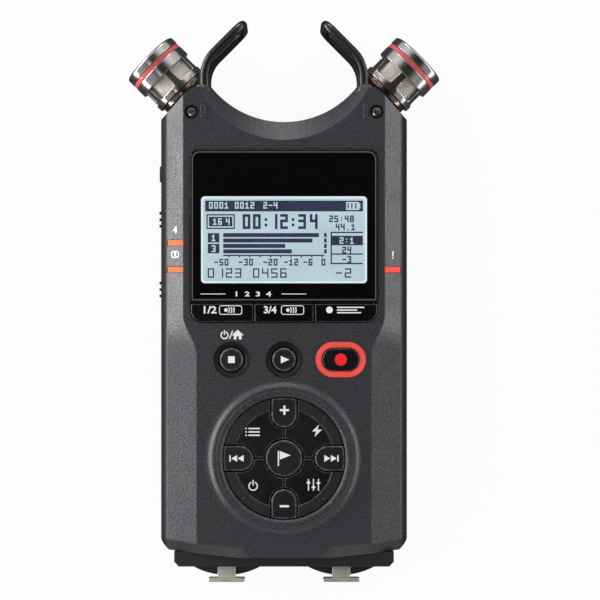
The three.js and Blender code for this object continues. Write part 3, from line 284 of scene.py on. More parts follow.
# name: place in metres, width, height and radiance
SOFT_BOXES = {
    "left_box": ((-0.66, 0.05, 0.085), 1.0, 0.15, 15.0),
    "left_high_box": ((-0.50, 0.10, 0.46), 0.40, 0.16, 2.6),
    "right_box": ((0.68, 0.0, 0.085), 0.9, 0.15, 6.6),
    "head_box": ((0.0, 0.74, 0.085), 0.36, 0.15, 9.5),
    "foot_box": ((0.10, -0.74, 0.085), 0.8, 0.15, 1.2),
    "near_box": ((-0.13, -0.05, 0.60), 0.10, 0.09, 3.0)}

for name, (at, wide, high, radiance) in SOFT_BOXES.items():
    data = bpy.data.lights.new(name, "AREA")
    data.shape = "RECTANGLE"
    data.size = wide
    data.size_y = high
    data.energy = radiance * math.pi * wide * high
    lamp = linked(name, data)
    lamp.location = at
    lamp.rotation_euler = (Vector(at) - LAMP_AIM).to_track_quat("Z", "Y").to_euler()
    lamp.visible_camera = False
print(len(SOFT_BOXES), "soft boxes")

# %% [markdown]
# ## Effects that several finishes share
#
# Grain, wear and smears are alike on many pieces and differ only in size and strength. So each is
# made once, as a node group with named inputs and outputs, and placed in every finish with that
# finish's own values. `Group` makes one: `given` gives its inputs and `made` takes its results.

# %% Node groups
# the form of an input by the kind of its default; an input without a default names its form
FORMS = {float: "Float", int: "Int", tuple: "Vector"}


class Group(Words):
    """A node group: `given` are the sockets that its inputs give, and `made` takes its results."""

    def __init__(self, name, inputs, outputs, kind="ShaderNodeTree", form="Float"):
        super().__init__(bpy.data.node_groups.new(name, kind))
        for label, value in inputs.items():
            form_of_input = FORMS.get(type(value), value)
            socket = self.tree.interface.new_socket(
                label, in_out="INPUT", socket_type=f"NodeSocket{form_of_input}")
            if form_of_input != value:
                socket.default_value = value
        for label in outputs:
            self.tree.interface.new_socket(label, in_out="OUTPUT", socket_type="NodeSocket" + form)
        self.given = self.put("NodeGroupInput").outputs
        self.made = self.put("NodeGroupOutput").inputs

    def end(self, values):
        """Joins the results."""
        self.wire(self.made, values)
        print(self.tree.name + ":", len(self.tree.nodes), "nodes")

    def per(self, name):
        """One divided by an input, as a pattern's scale."""
        return self.calc("DIVIDE", 1.0, self.given[name])


print("groups for", ", ".join(FORMS.values()), "inputs")

# %% [markdown]
# Moulded plastic has a spark-eroded grain: small pebbles that catch the light, and wide patches
# where it is a touch lighter. The group gives the height for a bump and two masks for the colour.

# %% Moulded grain
PEBBLE_SHARE = 0.6
NOISE_BAND = (0.35, 0.65)

grain = Group("moulded grain", {"Place": "Vector", "Grain size": 0.0003, "Patch size": 0.03},
              ("Height", "Speckle", "Patch"))
spot = grain.given["Place"]
per_metre = grain.per("Grain size")
fine = grain.put("ShaderNodeTexNoise", {
    "Vector": spot, "Scale": per_metre, "Detail": 2.0, "Roughness": 0.55})
pebbles = grain.put("ShaderNodeTexVoronoi", {"Vector": spot, "Scale": per_metre})
wide = grain.put("ShaderNodeTexNoise", {
    "Vector": spot, "Scale": grain.per("Patch size"), "Detail": 3.0})
grain.end({
    "Height": grain.calc("ADD", fine, grain.calc(
        "MULTIPLY", pebbles.outputs["Distance"], PEBBLE_SHARE)),
    "Speckle": grain.ranged(fine, *NOISE_BAND), "Patch": grain.ranged(wide, *NOISE_BAND)})

# %% [markdown]
# Handled surfaces are never evenly glossy. Fingers leave a faint film in soft blotches with finer
# smears in it, which is seen only in the roughness.

# %% Finger film
SMEAR_BAND = (0.38, 0.66)

film = Group("finger film", {
    "Place": "Vector", "Clean": 0.2, "Smeared": 0.3, "Smear size": 0.012}, ("Roughness",))
smears = film.put("ShaderNodeTexNoise", {
    "Vector": film.given["Place"], "Scale": film.per("Smear size"),
    "Detail": 5.0, "Roughness": 0.6, "Distortion": 0.6})
film.end({"Roughness": film.ranged(
    smears, *SMEAR_BAND, film.given["Clean"], film.given["Smeared"])})

# %% [markdown]
# Corners wear first, and rounded rims catch the light. The lighter edge that this group finds stands
# for both, so it is partly wear and partly painted highlight. A Bevel node gives the direction that the
# surface would have if its edges were rounder. Where that differs from the real direction there is an
# edge, and noise breaks the line up.

# %% Edge wear and painted highlight
EDGE_BAND = (0.998, 0.95)
BREAKS_BAND = (0.38, 0.62)
BREAKS_SCALE = 900.0
LEAST_WEAR_AND_HIGHLIGHT = 0.25

wear_and_highlight = Group("edge wear", {"Place": "Vector", "Reach": 0.0004, "Strength": 0.5}, ("Mask",))
softened = wear_and_highlight.put("ShaderNodeBevel", {"Radius": wear_and_highlight.given["Reach"]}, samples=3)
true_normal = wear_and_highlight.put("ShaderNodeNewGeometry").outputs["Normal"]
alike = wear_and_highlight.vector("DOT_PRODUCT", softened, true_normal).outputs["Value"]
breaks = wear_and_highlight.put("ShaderNodeTexNoise", {
    "Vector": wear_and_highlight.given["Place"], "Scale": BREAKS_SCALE, "Detail": 3.0})
mask = wear_and_highlight.calc("MULTIPLY", wear_and_highlight.ranged(alike, *EDGE_BAND), wear_and_highlight.ranged(
    breaks, *BREAKS_BAND, LEAST_WEAR_AND_HIGHLIGHT))
wear_and_highlight.end({"Mask": wear_and_highlight.calc("MULTIPLY", mask, wear_and_highlight.given["Strength"])})

# %% [markdown]
# Brushing and turning leave fine parallel lines. The group squeezes the place along the chosen
# direction, so that noise stretches into lines, and gives their height.

# %% Tool lines
LINES_BAND = (0.3, 0.7)

tool_lines = Group("tool lines", {
    "Place": "Vector", "Squeeze": (1.0, 1.0, 1.0), "Line width": 0.0001}, ("Lines",))
squeezed = tool_lines.vector("MULTIPLY", tool_lines.given["Place"], tool_lines.given["Squeeze"])
drawn = tool_lines.put("ShaderNodeTexNoise", {
    "Vector": squeezed, "Scale": tool_lines.per("Line width"), "Detail": 2.0})
tool_lines.end({"Lines": tool_lines.ranged(drawn, *LINES_BAND)})

# %% [markdown]
# ## Finishes
#
# `plastic`, `metal` and `lit` are recipes: they place the shared groups in a material with that
# finish's own values. All of them read Object coordinates, so a pattern stays fixed to its piece.
# Sizes are in millimetres, `rough` is the clean and the smeared roughness, and colours are levels as a
# screen shows them, which `screen` turns into linear light. A plastic is grain and patches first, then
# lighter edges that are partly wear and partly painted highlight, and a film of use, and it may have a
# clear coat over all that. Where a side tint is given, it is painted shade towards the sides.

# %% Recipe for plastics
# how far from the middle the front's tone fades into the painted shade of the sides
SIDE_SHADE_FADE = (33.0 * MM, 33.8 * MM)
SIDE_ROUGH = 0.95
COAT_ROUGH = 0.05
PLASTIC_WEAR_AND_HIGHLIGHT = 0.7
SPECKLE_SHARE = 0.5


def screen(*levels):
    """A colour as a screen shows it, from three levels up to 255, as a shader's linear colour."""
    shares = [level / 255 for level in levels]
    return tuple(s / 12.92 if s <= 0.04045 else ((s + 0.055) / 1.055) ** 2.4 for s in shares) + (1.0,)


def shader_of(material):
    """The inputs of a finish's Principled shader."""
    return material.node_tree.nodes["Principled BSDF"].inputs


def start_finish(name):
    """A new material, the words for its tree, its shader's inputs and the Object coordinates."""
    material = bpy.data.materials.new(name)
    material.use_nodes = True
    words = Words(material.node_tree)
    return material, words, shader_of(material), words.coordinates()


def scaled(colour, factor):
    """A linear colour made darker or lighter."""
    return tuple(min(1.0, channel * factor) for channel in colour[:3]) + (1.0,)


def between(words, share, colour, spread):
    """A colour that a mask moves from darker to lighter."""
    return words.mixed(share, scaled(colour, 1 - spread), scaled(colour, 1 + spread))


def plastic(name, colour, rough, grain_size, grain_depth, speckle=0.16, patch=0.1,
            wear_and_highlight_tint=None, wear_and_highlight_reach=0.35, coat=0.0, soft_edge=0.0, painted_side_shade=None):
    """A moulded plastic, with its grain, its patches, lighter edges of wear and painted highlight, a
    film of use and, if given, painted shade towards the sides.
    """
    material, words, shader, where = start_finish(name)
    colour = screen(*colour)
    grained = words.use(grain, Place=where, Grain_size=grain_size * MM)
    tone = words.mixed(SPECKLE_SHARE, between(words, grained["Patch"], colour, patch),
                       between(words, grained["Speckle"], colour, speckle))
    # the lighter edge tint is partly wear and partly painted highlight along the rims
    if wear_and_highlight_tint:
        rim_wear_and_highlight = words.use(wear_and_highlight, Place=where, Reach=wear_and_highlight_reach * MM, Strength=PLASTIC_WEAR_AND_HIGHLIGHT)
        tone = words.mixed(rim_wear_and_highlight["Mask"], tone, screen(*wear_and_highlight_tint))
    roughness = words.use(film, Place=where, Clean=rough[0], Smeared=rough[1])["Roughness"]
    bump = words.put("ShaderNodeBump", {
        "Height": grained["Height"], "Distance": grain_depth * MM, "Strength": 1.0})
    if soft_edge:
        words.wire(bump.inputs, {"Normal": words.put(
            "ShaderNodeBevel", {"Radius": soft_edge * MM}, samples=4)})
    # painted shade: the tone darkens and dulls towards the sides of the housing
    if painted_side_shade:
        in_side_shade = words.ranged(words.calc("ABSOLUTE", words.part(where, "X")), *SIDE_SHADE_FADE)
        tone = words.mixed(in_side_shade, tone, screen(*painted_side_shade))
        roughness = words.ranged(in_side_shade, 0.0, 1.0, roughness, SIDE_ROUGH)
    words.wire(shader, {"Base Color": tone, "Roughness": roughness, "Normal": bump,
                        "Coat Weight": coat, "Coat Roughness": COAT_ROUGH})
    return material


print("plastic ready")

# %% [markdown]
# The housing is a fine-grained dark grey moulding. Towards its sides it turns into a duller finish
# whose darker colour is painted shade, and that draws the dark line round the recorder from above. Keys
# are a satin black with lighter rims that are partly wear and partly painted highlight, and each
# quadrant key has a paler border along the dial's rim. The display window is polished black, and the
# end panel with its switches is a smoother black.

# %% Plastics of the recorder
SIDE_GLOSS = 0.15
DIAL_Y = 31.1
# how far from the dial's middle the border of the quadrant keys fades in
BORDER_FADE = (14.1 * MM, 14.3 * MM)
BORDER_TONE = screen(43, 43, 46)


def retint(material, key, mask, tint):
    """Lays a second colour over one input of a finish, where a mask made from the place is 1."""
    words = Words(material.node_tree)
    shader = shader_of(material)
    first = shader[key].links[0].from_socket
    words.wire(shader, {key: words.mixed(mask(words, words.coordinates()), first, tint)})


def on_border(words, where):
    """1 on the border of the quadrant keys, by the distance from the middle of the dial."""
    aside = words.vector("SUBTRACT", where, place(0, DIAL_Y, 0)[:2] + (0,))
    return words.ranged(words.length(words.vector("MULTIPLY", aside, (1, 1, 0))), *BORDER_FADE)


# the lighter edge tints in this cell are partly wear and partly painted highlight along the rims
# name, colour and roughness, then the grain's size and depth, and how far speckles and patches
# move the tone
# the housing's darker side tint and the darker side finish below are painted shade
housing_grey = plastic(
    "housing_grey", (56, 55, 60), (0.34, 0.42), 0.5, 0.06, 0.8, 0.08, wear_and_highlight_tint=(78, 77, 82),
    soft_edge=0.4, painted_side_shade=(24, 24, 27))
housing_shaded_side = plastic(
    "housing_shaded_side", (22, 22, 25), (0.62, 0.72), 0.5, 0.06, 0.5, 0.08, soft_edge=0.4)
shader_of(housing_shaded_side)["Specular IOR Level"].default_value = SIDE_GLOSS
gloss_black = plastic("gloss_black", (11, 11, 12), (0.04, 0.075), 2.5, 0.0003, 0.1, coat=0.6)
rod_black = plastic("rod_black", (26, 26, 29), (0.26, 0.33), 0.6, 0.0005, 0.1)
soft_key_black = plastic(
    "soft_key_black", (13, 13, 14), (0.10, 0.16), 0.8, 0.001, 0.12, coat=0.4,
    wear_and_highlight_tint=(92, 92, 96), wear_and_highlight_reach=0.4)
record_black = plastic("record_black", (22, 23, 30), (0.16, 0.22), 0.5, 0.001, 0.1, coat=0.4)
key_black = plastic(
    "key_black", (28, 27, 31), (0.27, 0.36), 0.28, 0.004, 0.2, wear_and_highlight_tint=(150, 150, 154),
    wear_and_highlight_reach=0.7)
quadrant_black = plastic(
    "quadrant_black", (20, 21, 23), (0.20, 0.30), 0.3, 0.004, 0.2, wear_and_highlight_tint=(124, 124, 128),
    wear_and_highlight_reach=0.5)
retint(quadrant_black, "Base Color", on_border, BORDER_TONE)
panel_black = plastic(
    "panel_black", (42, 42, 44), (0.33, 0.42), 0.3, 0.008, 0.2, wear_and_highlight_tint=(80, 80, 82),
    soft_edge=0.3)
# near-black for painted shade in the screw wells, pin holes and port, and for the real rubber sheet
# under the soft keys
rubber_and_shade_black = plastic("rubber_and_shade_black", (9, 9, 9), (0.5, 0.6), 0.3, 0.004)
# near-black liners that paint the shade in recesses, on the collar's inner slope and inside the port
shade_liner_black = plastic("shade_liner_black", (17, 17, 18), (0.3, 0.4), 0.5, 0.003)
print("plastics ready, such as", housing_grey.name, "and", key_black.name)

# %% [markdown]
# Metal shows little but what it mirrors. What tells one metal from another is its tint, how sharp its
# mirror is and the fine lines that a tool has left in it, so this recipe bumps those lines and moves
# the tone in faint patches and, where an edge tint is given, along lighter rims that are partly wear
# and partly painted highlight.

# %% Recipe for metals
METAL_WEAR_AND_HIGHLIGHT = {"Reach": 0.35 * MM, "Strength": 0.9}
METAL_GRAIN = 1.2
METAL_PATCH = 6


def metal(name, colour, rough, line_width, line_depth=0.0008, tint=0.12, squeeze=(1, 1, 1),
          wear_and_highlight_tint=None):
    """A plated or plain metal with tool lines."""
    material, words, shader, where = start_finish(name)
    marks = words.use(tool_lines, Place=where, Squeeze=squeeze, Line_width=line_width * MM)
    grained = words.use(grain, Place=where, Grain_size=METAL_GRAIN * MM, Patch_size=METAL_PATCH * MM)
    tone = between(words, grained["Patch"], screen(*colour), tint)
    # the lighter edge tint is partly wear and partly painted highlight along the rims
    if wear_and_highlight_tint:
        rim_wear_and_highlight = words.use(wear_and_highlight, Place=where, **METAL_WEAR_AND_HIGHLIGHT)
        tone = words.mixed(rim_wear_and_highlight["Mask"], tone, screen(*wear_and_highlight_tint))
    filmed = words.use(
        film, Place=where, Clean=rough[0], Smeared=rough[1], Smear_size=METAL_PATCH * MM)
    bump = words.put("ShaderNodeBump", {
        "Height": marks["Lines"], "Distance": line_depth * MM, "Strength": 1.0})
    words.wire(shader, {"Base Color": tone, "Roughness": filmed["Roughness"], "Normal": bump,
                        "Metallic": 1.0})
    return material


print("metal ready")

# %% [markdown]
# The microphone bodies are plated in a dark, warm nickel and polished, so they mirror the studio in
# long streaks. Tabs, screws and ports are a paler satin nickel, and the tripod bush is turned brass.

# %% Metals of the recorder
# the plated parts' lighter edge tints are partly wear and partly painted highlight along their rims
bright_plate = metal(
    "bright_plate", (206, 202, 200), (0.18, 0.25), line_width=0.5, line_depth=0.0004, tint=0.05,
    wear_and_highlight_tint=(240, 236, 232))
hub_nickel = metal(
    "hub_nickel", (150, 132, 122), (0.18, 0.28), line_width=0.4, line_depth=0.0006,
    wear_and_highlight_tint=(200, 184, 172))
satin_nickel = metal("satin_nickel", (240, 235, 226), (0.48, 0.58), 0.15, 0.001, squeeze=(1, 0.05, 1))
screw_nickel = metal("screw_nickel", (206, 204, 200), (0.20, 0.30), line_width=0.1, line_depth=0.001)
wire_metal = metal("wire_metal", (242, 236, 228), (0.46, 0.58), line_width=0.2, line_depth=0.0005)
turned_brass = metal("turned_brass", (196, 160, 92), (0.18, 0.30), 0.12, 0.002, squeeze=(0.1, 0.1, 1))
spring_steel = metal("spring_steel", (182, 182, 180), (0.22, 0.32), line_width=0.3)
print("metals ready, such as", satin_nickel.name)

# %% [markdown]
# A light guide is never even: it is a little brighter over its lamp and dimmer at the edges, so
# soft noise moves its glow between two strengths. Its own colour is kept dark, as its light comes
# from inside. A printed ink is a plastic with hardly any grain.

# %% Recipes for lit parts and inks
LIT_GRAIN = 0.5
SMEARED_TIMES = 1.3
DIM_SHARE = 0.9
INK_FILM = 0.1


def lit(name, colour, low, patch_size, rough=0.3, body_share=0.1, gloss=0.5):
    """A light guide: its colour glows between a low strength and 1 in patches of that size."""
    material, words, shader, where = start_finish(name)
    colour = screen(*colour)
    grained = words.use(grain, Place=where, Grain_size=LIT_GRAIN * MM, Patch_size=patch_size * MM)
    strength = words.ranged(grained["Patch"], 0.0, 1.0, low, 1.0)
    filmed = words.use(film, Place=where, Clean=rough, Smeared=rough * SMEARED_TIMES)
    body, dim_body = (scaled(colour, share) for share in (body_share, body_share * DIM_SHARE))
    words.wire(shader, {
        "Emission Color": words.mixed(1.0, colour, strength, mode="MULTIPLY"),
        "Emission Strength": 1.0, "Specular IOR Level": gloss, "Roughness": filmed["Roughness"],
        "Base Color": words.mixed(grained["Speckle"], body, dim_body)})
    return material


def ink(name, colour, rough=0.45):
    """A printed ink with faint unevenness in its cover."""
    return plastic(name, colour, (rough, rough + INK_FILM), grain_size=0.12, grain_depth=0.001,
                   speckle=0.05, patch=0.03)


print("lit and ink ready")

# %% [markdown]
# The ring round the record key glows most along the middle of its band and is a deeper red at its
# edges. The distance from the bar in the middle of the key tells how far a place lies off that lane.

# %% Lit parts and inks
RING_LANE = 0.75
RING_CORE = 0.2
RING_EDGE = screen(212, 60, 66)


def off_ring_lane(words, where):
    """0 on the middle of the ring's band and 1 at its rims."""
    low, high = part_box("record_ring")
    middle, radius = (low + high) / 2, (high.y - low.y) / 2
    aside = words.calc("ABSOLUTE", words.calc("SUBTRACT", words.part(where, "X"), middle.x))
    beyond = words.calc("MAXIMUM", 0.0, words.calc("SUBTRACT", aside, (high.x - low.x) / 2 - radius))
    across = words.calc("SUBTRACT", words.part(where, "Y"), middle.y)
    reach = words.length(words.point(X=beyond, Y=across))
    off_lane = words.calc("ABSOLUTE", words.calc("SUBTRACT", reach, radius - RING_LANE * MM))
    return words.ranged(off_lane, RING_CORE * MM, RING_LANE * MM)


ring_red = lit("ring_red", (226, 90, 76), 0.84, patch_size=5, body_share=0.12, gloss=0.2)
retint(ring_red, "Emission Color", off_ring_lane, RING_EDGE)
lamp_orange = lit("lamp_orange", (240, 122, 48), 0.8, patch_size=2, gloss=0.12)
lamp_red = lit("lamp_red", (244, 74, 56), 0.85, patch_size=2, gloss=0.12)
lcd_light = lit("lcd_light", (182, 205, 214), 0.90, patch_size=12, rough=0.2)
lcd_edge = lit("lcd_edge", (222, 234, 240), 0.92, patch_size=8, rough=0.2)
lcd_dot = lit("lcd_dot", (36, 38, 68), 0.9, patch_size=6, body_share=0.05)
white_ink = ink("white_ink", (248, 249, 250))
# a grey ink for the painted highlight along the window's rim
rim_highlight_grey = ink("rim_highlight_grey", (84, 84, 87))
red_ink = ink("red_ink", (252, 18, 14), rough=0.4)
# the band's lighter edge tint is partly wear and partly painted highlight beside it
band_red = plastic(
    "band_red", (206, 86, 92), (0.2, 0.28), 0.5, 0.001, 0.08, 0.06, wear_and_highlight_tint=(206, 128, 130),
    wear_and_highlight_reach=0.2, coat=0.5)
print("lit parts and inks ready")

# %% [markdown]
# Parts inside the case show through slots and open doors: a green board with its solder mask,
# sleeved cells, a paper cone behind the speaker slots.

# %% Finishes inside the case
board_green = plastic("board_green", (34, 92, 58), (0.25, 0.35), 0.6, 0.002, 0.12, coat=0.3)
chip_black = plastic("chip_black", (28, 28, 30), (0.45, 0.55), 0.2, 0.003)
cell_sleeve = plastic("cell_sleeve", (86, 96, 108), (0.22, 0.32), 0.9, 0.001, 0.05, coat=0.4)
cone_paper = plastic("cone_paper", (40, 39, 38), (0.7, 0.85), 0.25, 0.02)
dust_cloth = plastic("dust_cloth", (26, 26, 27), (0.8, 0.95), 0.2, 0.03)
print(len(bpy.data.materials), "finishes")

# %% [markdown]
# ## Helpers that make meshes
#
# A piece of the model is one plain mesh that rides on a body of the frame. What modifiers, curves and
# texts make is turned into such a mesh at once.

# %% Mesh helpers
MERGE = 0.000002


def plain_mesh(holder):
    """The mesh that an object's modifiers make, as a plain mesh; the object is removed."""
    graph = bpy.context.evaluated_depsgraph_get()
    mesh = bpy.data.meshes.new_from_object(
        holder.evaluated_get(graph), preserve_all_data_layers=True, depsgraph=graph)
    bpy.data.objects.remove(holder)
    return mesh


def settle(name, mesh, body, stands_for=()):
    """A finished piece on its body; it may stand for solids of the frame."""
    piece = linked(name, mesh)
    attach(piece, body)
    if stands_for:
        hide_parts(*stands_for)
    return piece


def opened(mesh):
    """A mesh opened for editing."""
    shape = bmesh.new()
    shape.from_mesh(mesh)
    return shape


def closed(shape, mesh):
    """The mesh with the edits written back."""
    shape.to_mesh(mesh)
    shape.free()
    return mesh


def crisp(mesh, limit=32.0):
    """Smooth shading that still breaks at edges sharper than a limit in degrees."""
    mesh.set_sharp_from_angle(angle=math.radians(limit))
    return mesh


def dressed(mesh, finish):
    """The mesh with one finish in place of any others."""
    mesh.materials.clear()
    mesh.materials.append(finish)
    return mesh


print("mesh helpers ready")


# %% [markdown]
# A moulded edge is never razor sharp, and its small radius is what draws the bright lines along
# the rims of the keys. A cut that ran past the next edge would tear the mesh, so each edge is
# rounded only as far as it has room beside it.

# %% Room beside an edge
def room_beside(edge, flat_edges):
    """How far an edge may be cut back before the cut meets the next edge, in metres."""
    room = 1.0
    along = (edge.verts[0].co - edge.verts[1].co).normalized()
    for corner in edge.verts:
        for other in corner.link_edges:
            if other is edge or other in flat_edges:
                continue
            span = other.verts[0].co - other.verts[1].co
            aside = (span - along * span.dot(along)).length
            if aside > span.length / 2:
                room = min(room, aside)
    return room


print("room can be measured")

# %% [markdown]
# Smooth shading bends the light on flat faces too. Weighted normals keep the broad faces flat and
# leave the turning of light to the rounding. Where nothing is rounded, each broad plane gets its
# exact normal instead, however many slivers of triangles it is made of.

# %% Broad faces stay flat
FLAT = math.radians(0.5)
# in square metres, what makes a plane broad and what makes a triangle's normal sure; in metres,
# how near to a plane a corner has to be to lie on it
BROAD = 0.000004
SURE = 0.0000003
TOUCH = 0.000004


def true_planes(mesh):
    """Exact normals on each broad plane, however many slivers of triangles it is made of."""
    areas = {}
    for face in mesh.polygons:
        if face.area > SURE:
            depth = face.normal.dot(face.center)
            key = tuple(round(value, 2) for value in face.normal) + (round(depth / TOUCH / 4),)
            area, _, _ = areas.get(key, (0.0, None, None))
            areas[key] = (area + face.area, face.normal.copy(), depth)
    planes = [(across, depth) for area, across, depth in areas.values() if area > BROAD]
    normals = [corner.vector.copy() for corner in mesh.corner_normals]
    for face in mesh.polygons:
        corners = [mesh.vertices[index].co for index in face.vertices]
        for across, depth in planes:
            if all(abs(across.dot(corner) - depth) < TOUCH for corner in corners):
                for index in face.loop_indices:
                    normals[index] = across
    mesh.normals_split_custom_set(normals)
    return mesh


def flats_merged(mesh):
    """The same mesh with its coplanar triangles merged, so that a flat face is shaded as one."""
    shape = opened(mesh)
    bmesh.ops.dissolve_limit(shape, angle_limit=FLAT, verts=shape.verts, edges=shape.edges)
    return closed(shape, mesh)


def evenly_shaded(mesh):
    """The same mesh with normals that keep its broad faces flat."""
    holder = linked("shading_holder", mesh)
    even = holder.modifiers.new("even shading", "WEIGHTED_NORMAL")
    even.mode = "FACE_AREA"
    even.weight = 100
    even.keep_sharp = True
    return plain_mesh(holder)


print("shading ready")

# %% [markdown]
# `rounded` copies a solid from the frame, merges its loose triangles, rounds every edge sharper
# than a limit and stands the result in for the solid. The Bevel modifier would make all edges
# alike, so each edge has a weight, which scales its own cut.

# %% Rounded copies of solids
SHARP = math.radians(19)
ROOM_SHARE = 0.45
# degrees at which the shading breaks, on rounded solids and on those that keep their edges
CRISP = 42
UNCUT_CRISP = 9


def rounded(node, finish, width, segments=2):
    """A copy of a solid with its sharp edges rounded by a width in millimetres."""
    solid = frame["nodes"][node]
    mesh = dressed(solid.data.copy(), finish)
    shape = opened(mesh)
    bmesh.ops.remove_doubles(shape, verts=shape.verts, dist=MERGE)
    weight = shape.edges.layers.float.new("bevel_weight_edge")
    angles = {edge: edge.calc_face_angle(0) for edge in shape.edges}
    flat_edges = {edge for edge, angle in angles.items() if angle < FLAT}
    for edge, angle in angles.items():
        if width and angle > SHARP:
            edge[weight] = min(1.0, ROOM_SHARE * room_beside(edge, flat_edges) / (width * MM))
    for face in shape.faces:
        face.smooth = True
        face.material_index = 0
    holder = linked(node + "_holder", closed(shape, mesh))
    bevel = holder.modifiers.new("rounding", "BEVEL")
    bevel.width = width * MM
    bevel.segments = segments
    bevel.limit_method = "WEIGHT"
    bevel.use_clamp_overlap = False
    mesh = plain_mesh(holder)
    if width:
        mesh = evenly_shaded(crisp(flats_merged(mesh), CRISP))
    else:
        mesh = true_planes(crisp(mesh, UNCUT_CRISP))
    return settle(node + "_moulded", mesh, solid["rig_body"], (node,))


print("rounding ready")

# %% [markdown]
# The two shells are too full of openings for a cut. With a width of 0 they keep their true edges,
# `true_planes` keeps their broad faces flat, and their finish turns the light over the edges with a
# Bevel node. Their outermost faces, like the cover's, get a duller finish whose darker colour is
# painted shade along the sides.

# %% Housing
SIDE_SHADE_START = 34.0

for node, width in (("front_shell", 0), ("rear_shell", 0), ("battery_cover", 0.25)):
    # the outermost faces get the darker side finish, which is painted shade
    piece = rounded(node, housing_grey, width)
    piece.data.materials.append(housing_shaded_side)
    aside = [face for face in piece.data.polygons if abs(face.center.x) > SIDE_SHADE_START * MM]
    for face in aside:
        face.material_index = 1
    print(piece.name, len(piece.data.polygons), "faces,", len(aside), "of them at the side")


# %% [markdown]
# The end panel, the switches, the rockers and the card door are the same kind of moulding in a
# smoother black. Each rides on its own body, so that the switches still slide.

# %% Black mouldings
def round_all(finish, widths, segments=2):
    """Rounded copies of several solids, each with its own width."""
    for node, width in widths.items():
        rounded(node, finish, width, segments)
    print(", ".join(widths), "rounded")


round_all(panel_black, {
    "end_panel": 0, "input_switch": 0.12, "hold_switch": 0.12, "volume_rocker": 0.18,
    "level_rocker": 0.18, "card_door": 0.15, "phones_jack": 0.15, "combo_socket_left": 0.2,
    "combo_socket_right": 0.2})

# %% [markdown]
# Keys: the three soft keys are polished, the round ones and the dial's arms are satin, and the four
# quadrants are darker. Their rims are rounded more than the housing's, as a finger likes.

# %% Keys and lamps
SOFT_KEYS = ("soft_key_left", "soft_key_middle", "soft_key_right")
SATIN_KEYS = ("stop_key", "play_key", "record_key", "enter_key",
              "forward_key", "plus_key", "back_key", "minus_key")
QUADRANTS = ("quadrant_key_upper_right", "quadrant_key_upper_left",
             "quadrant_key_lower_left", "quadrant_key_lower_right")
round_all(soft_key_black, dict.fromkeys(SOFT_KEYS, 0.28), segments=3)
for node in SATIN_KEYS:
    rounded(node, record_black if node == "record_key" else key_black, 0.30, segments=3)
round_all(quadrant_black, dict.fromkeys(QUADRANTS, 0.20))
round_all(ring_red, {"record_ring": 0.2})
round_all(lamp_orange, {"track_lamp_upper": 0.1, "track_lamp_lower": 0.1})
round_all(lamp_red, {"peak_lamp": 0.1})

# %% [markdown]
# Each microphone is a polished hub, a cage with six windows, a red band and an end cap. They are
# turned parts, so a fine rounding and smooth shading are enough to make them read as metal. The
# hub's drum is drawn in a little, so that the dark gap round it shows.

# %% Microphone metal
SIDES = ((-1, "left"), (1, "right"))
PIVOT = (22.6, 129.1, 17.5)
DRUM_RADIUS = 7.2
DRUM_SEEN_RADIUS = 6.3
NECK_START = 3.0
for side, name in SIDES:
    hub = rounded("mic_hub_" + name, hub_nickel, 0.15)
    pivot = place(side * PIVOT[0], *PIVOT[1:])
    outwards = Vector((side, 1, 0)).normalized()
    for corner in hub.data.vertices:
        reach = corner.co - pivot
        reach.z = 0
        if reach.length > DRUM_SEEN_RADIUS * MM and reach.dot(outwards) < NECK_START * MM:
            corner.co -= reach * (1 - DRUM_SEEN_RADIUS / DRUM_RADIUS)
    round_all(bright_plate, {"mic_cage_" + name: 0.14, "mic_cap_" + name: 0.15})
    round_all(band_red, {"mic_band_" + name: 0.12})
    round_all(satin_nickel, {"release_tab_" + name: 0.15})


# %% [markdown]
# ## The guards
#
# Some pieces are grown by Geometry Nodes. `Growth` is a group for them: it takes geometry and a
# finish too, and it always ends the same way, with its copies made real and its material set.
# `grown` lets such a tree work on a mesh and keeps the result as a plain mesh.

# %% Pieces grown by node trees
class Growth(Group):
    """A Geometry Nodes tree that takes geometry and a finish besides its own inputs."""

    def __init__(self, name, inputs):
        super().__init__(name, {"Geometry": "Geometry", **inputs, "Finish": "Material"},
                         ("Geometry",), "GeometryNodeTree", "Geometry")

    def end(self, geometry):
        """Makes the geometry real and dresses it."""
        real = self.put("GeometryNodeRealizeInstances", {"Geometry": geometry})
        super().end({"Geometry": self.put("GeometryNodeSetMaterial", {
            "Geometry": real, "Material": self.given["Finish"]})})


def grown(name, tree, values, base=None):
    """The plain mesh that a Geometry Nodes tree makes from its named inputs."""
    holder = linked(name + "_holder", base or bpy.data.meshes.new(name + "_base"))
    modifier = holder.modifiers.new(name, "NODES")
    modifier.node_group = tree.tree
    for item in tree.tree.interface.items_tree:
        if item.item_type == "SOCKET" and item.in_out == "INPUT" and item.name in values:
            modifier[item.identifier] = values[item.name]
    mesh = plain_mesh(holder)
    mesh.name = name
    return mesh


print("growing ready")

# %% [markdown]
# Each guard is one steel rod bent into a loop. Sweeping a circle along a path is just what Geometry
# Nodes do well: the script gives the corner points and how sharply each is bent, the tree rounds
# the corners and sweeps the rod.

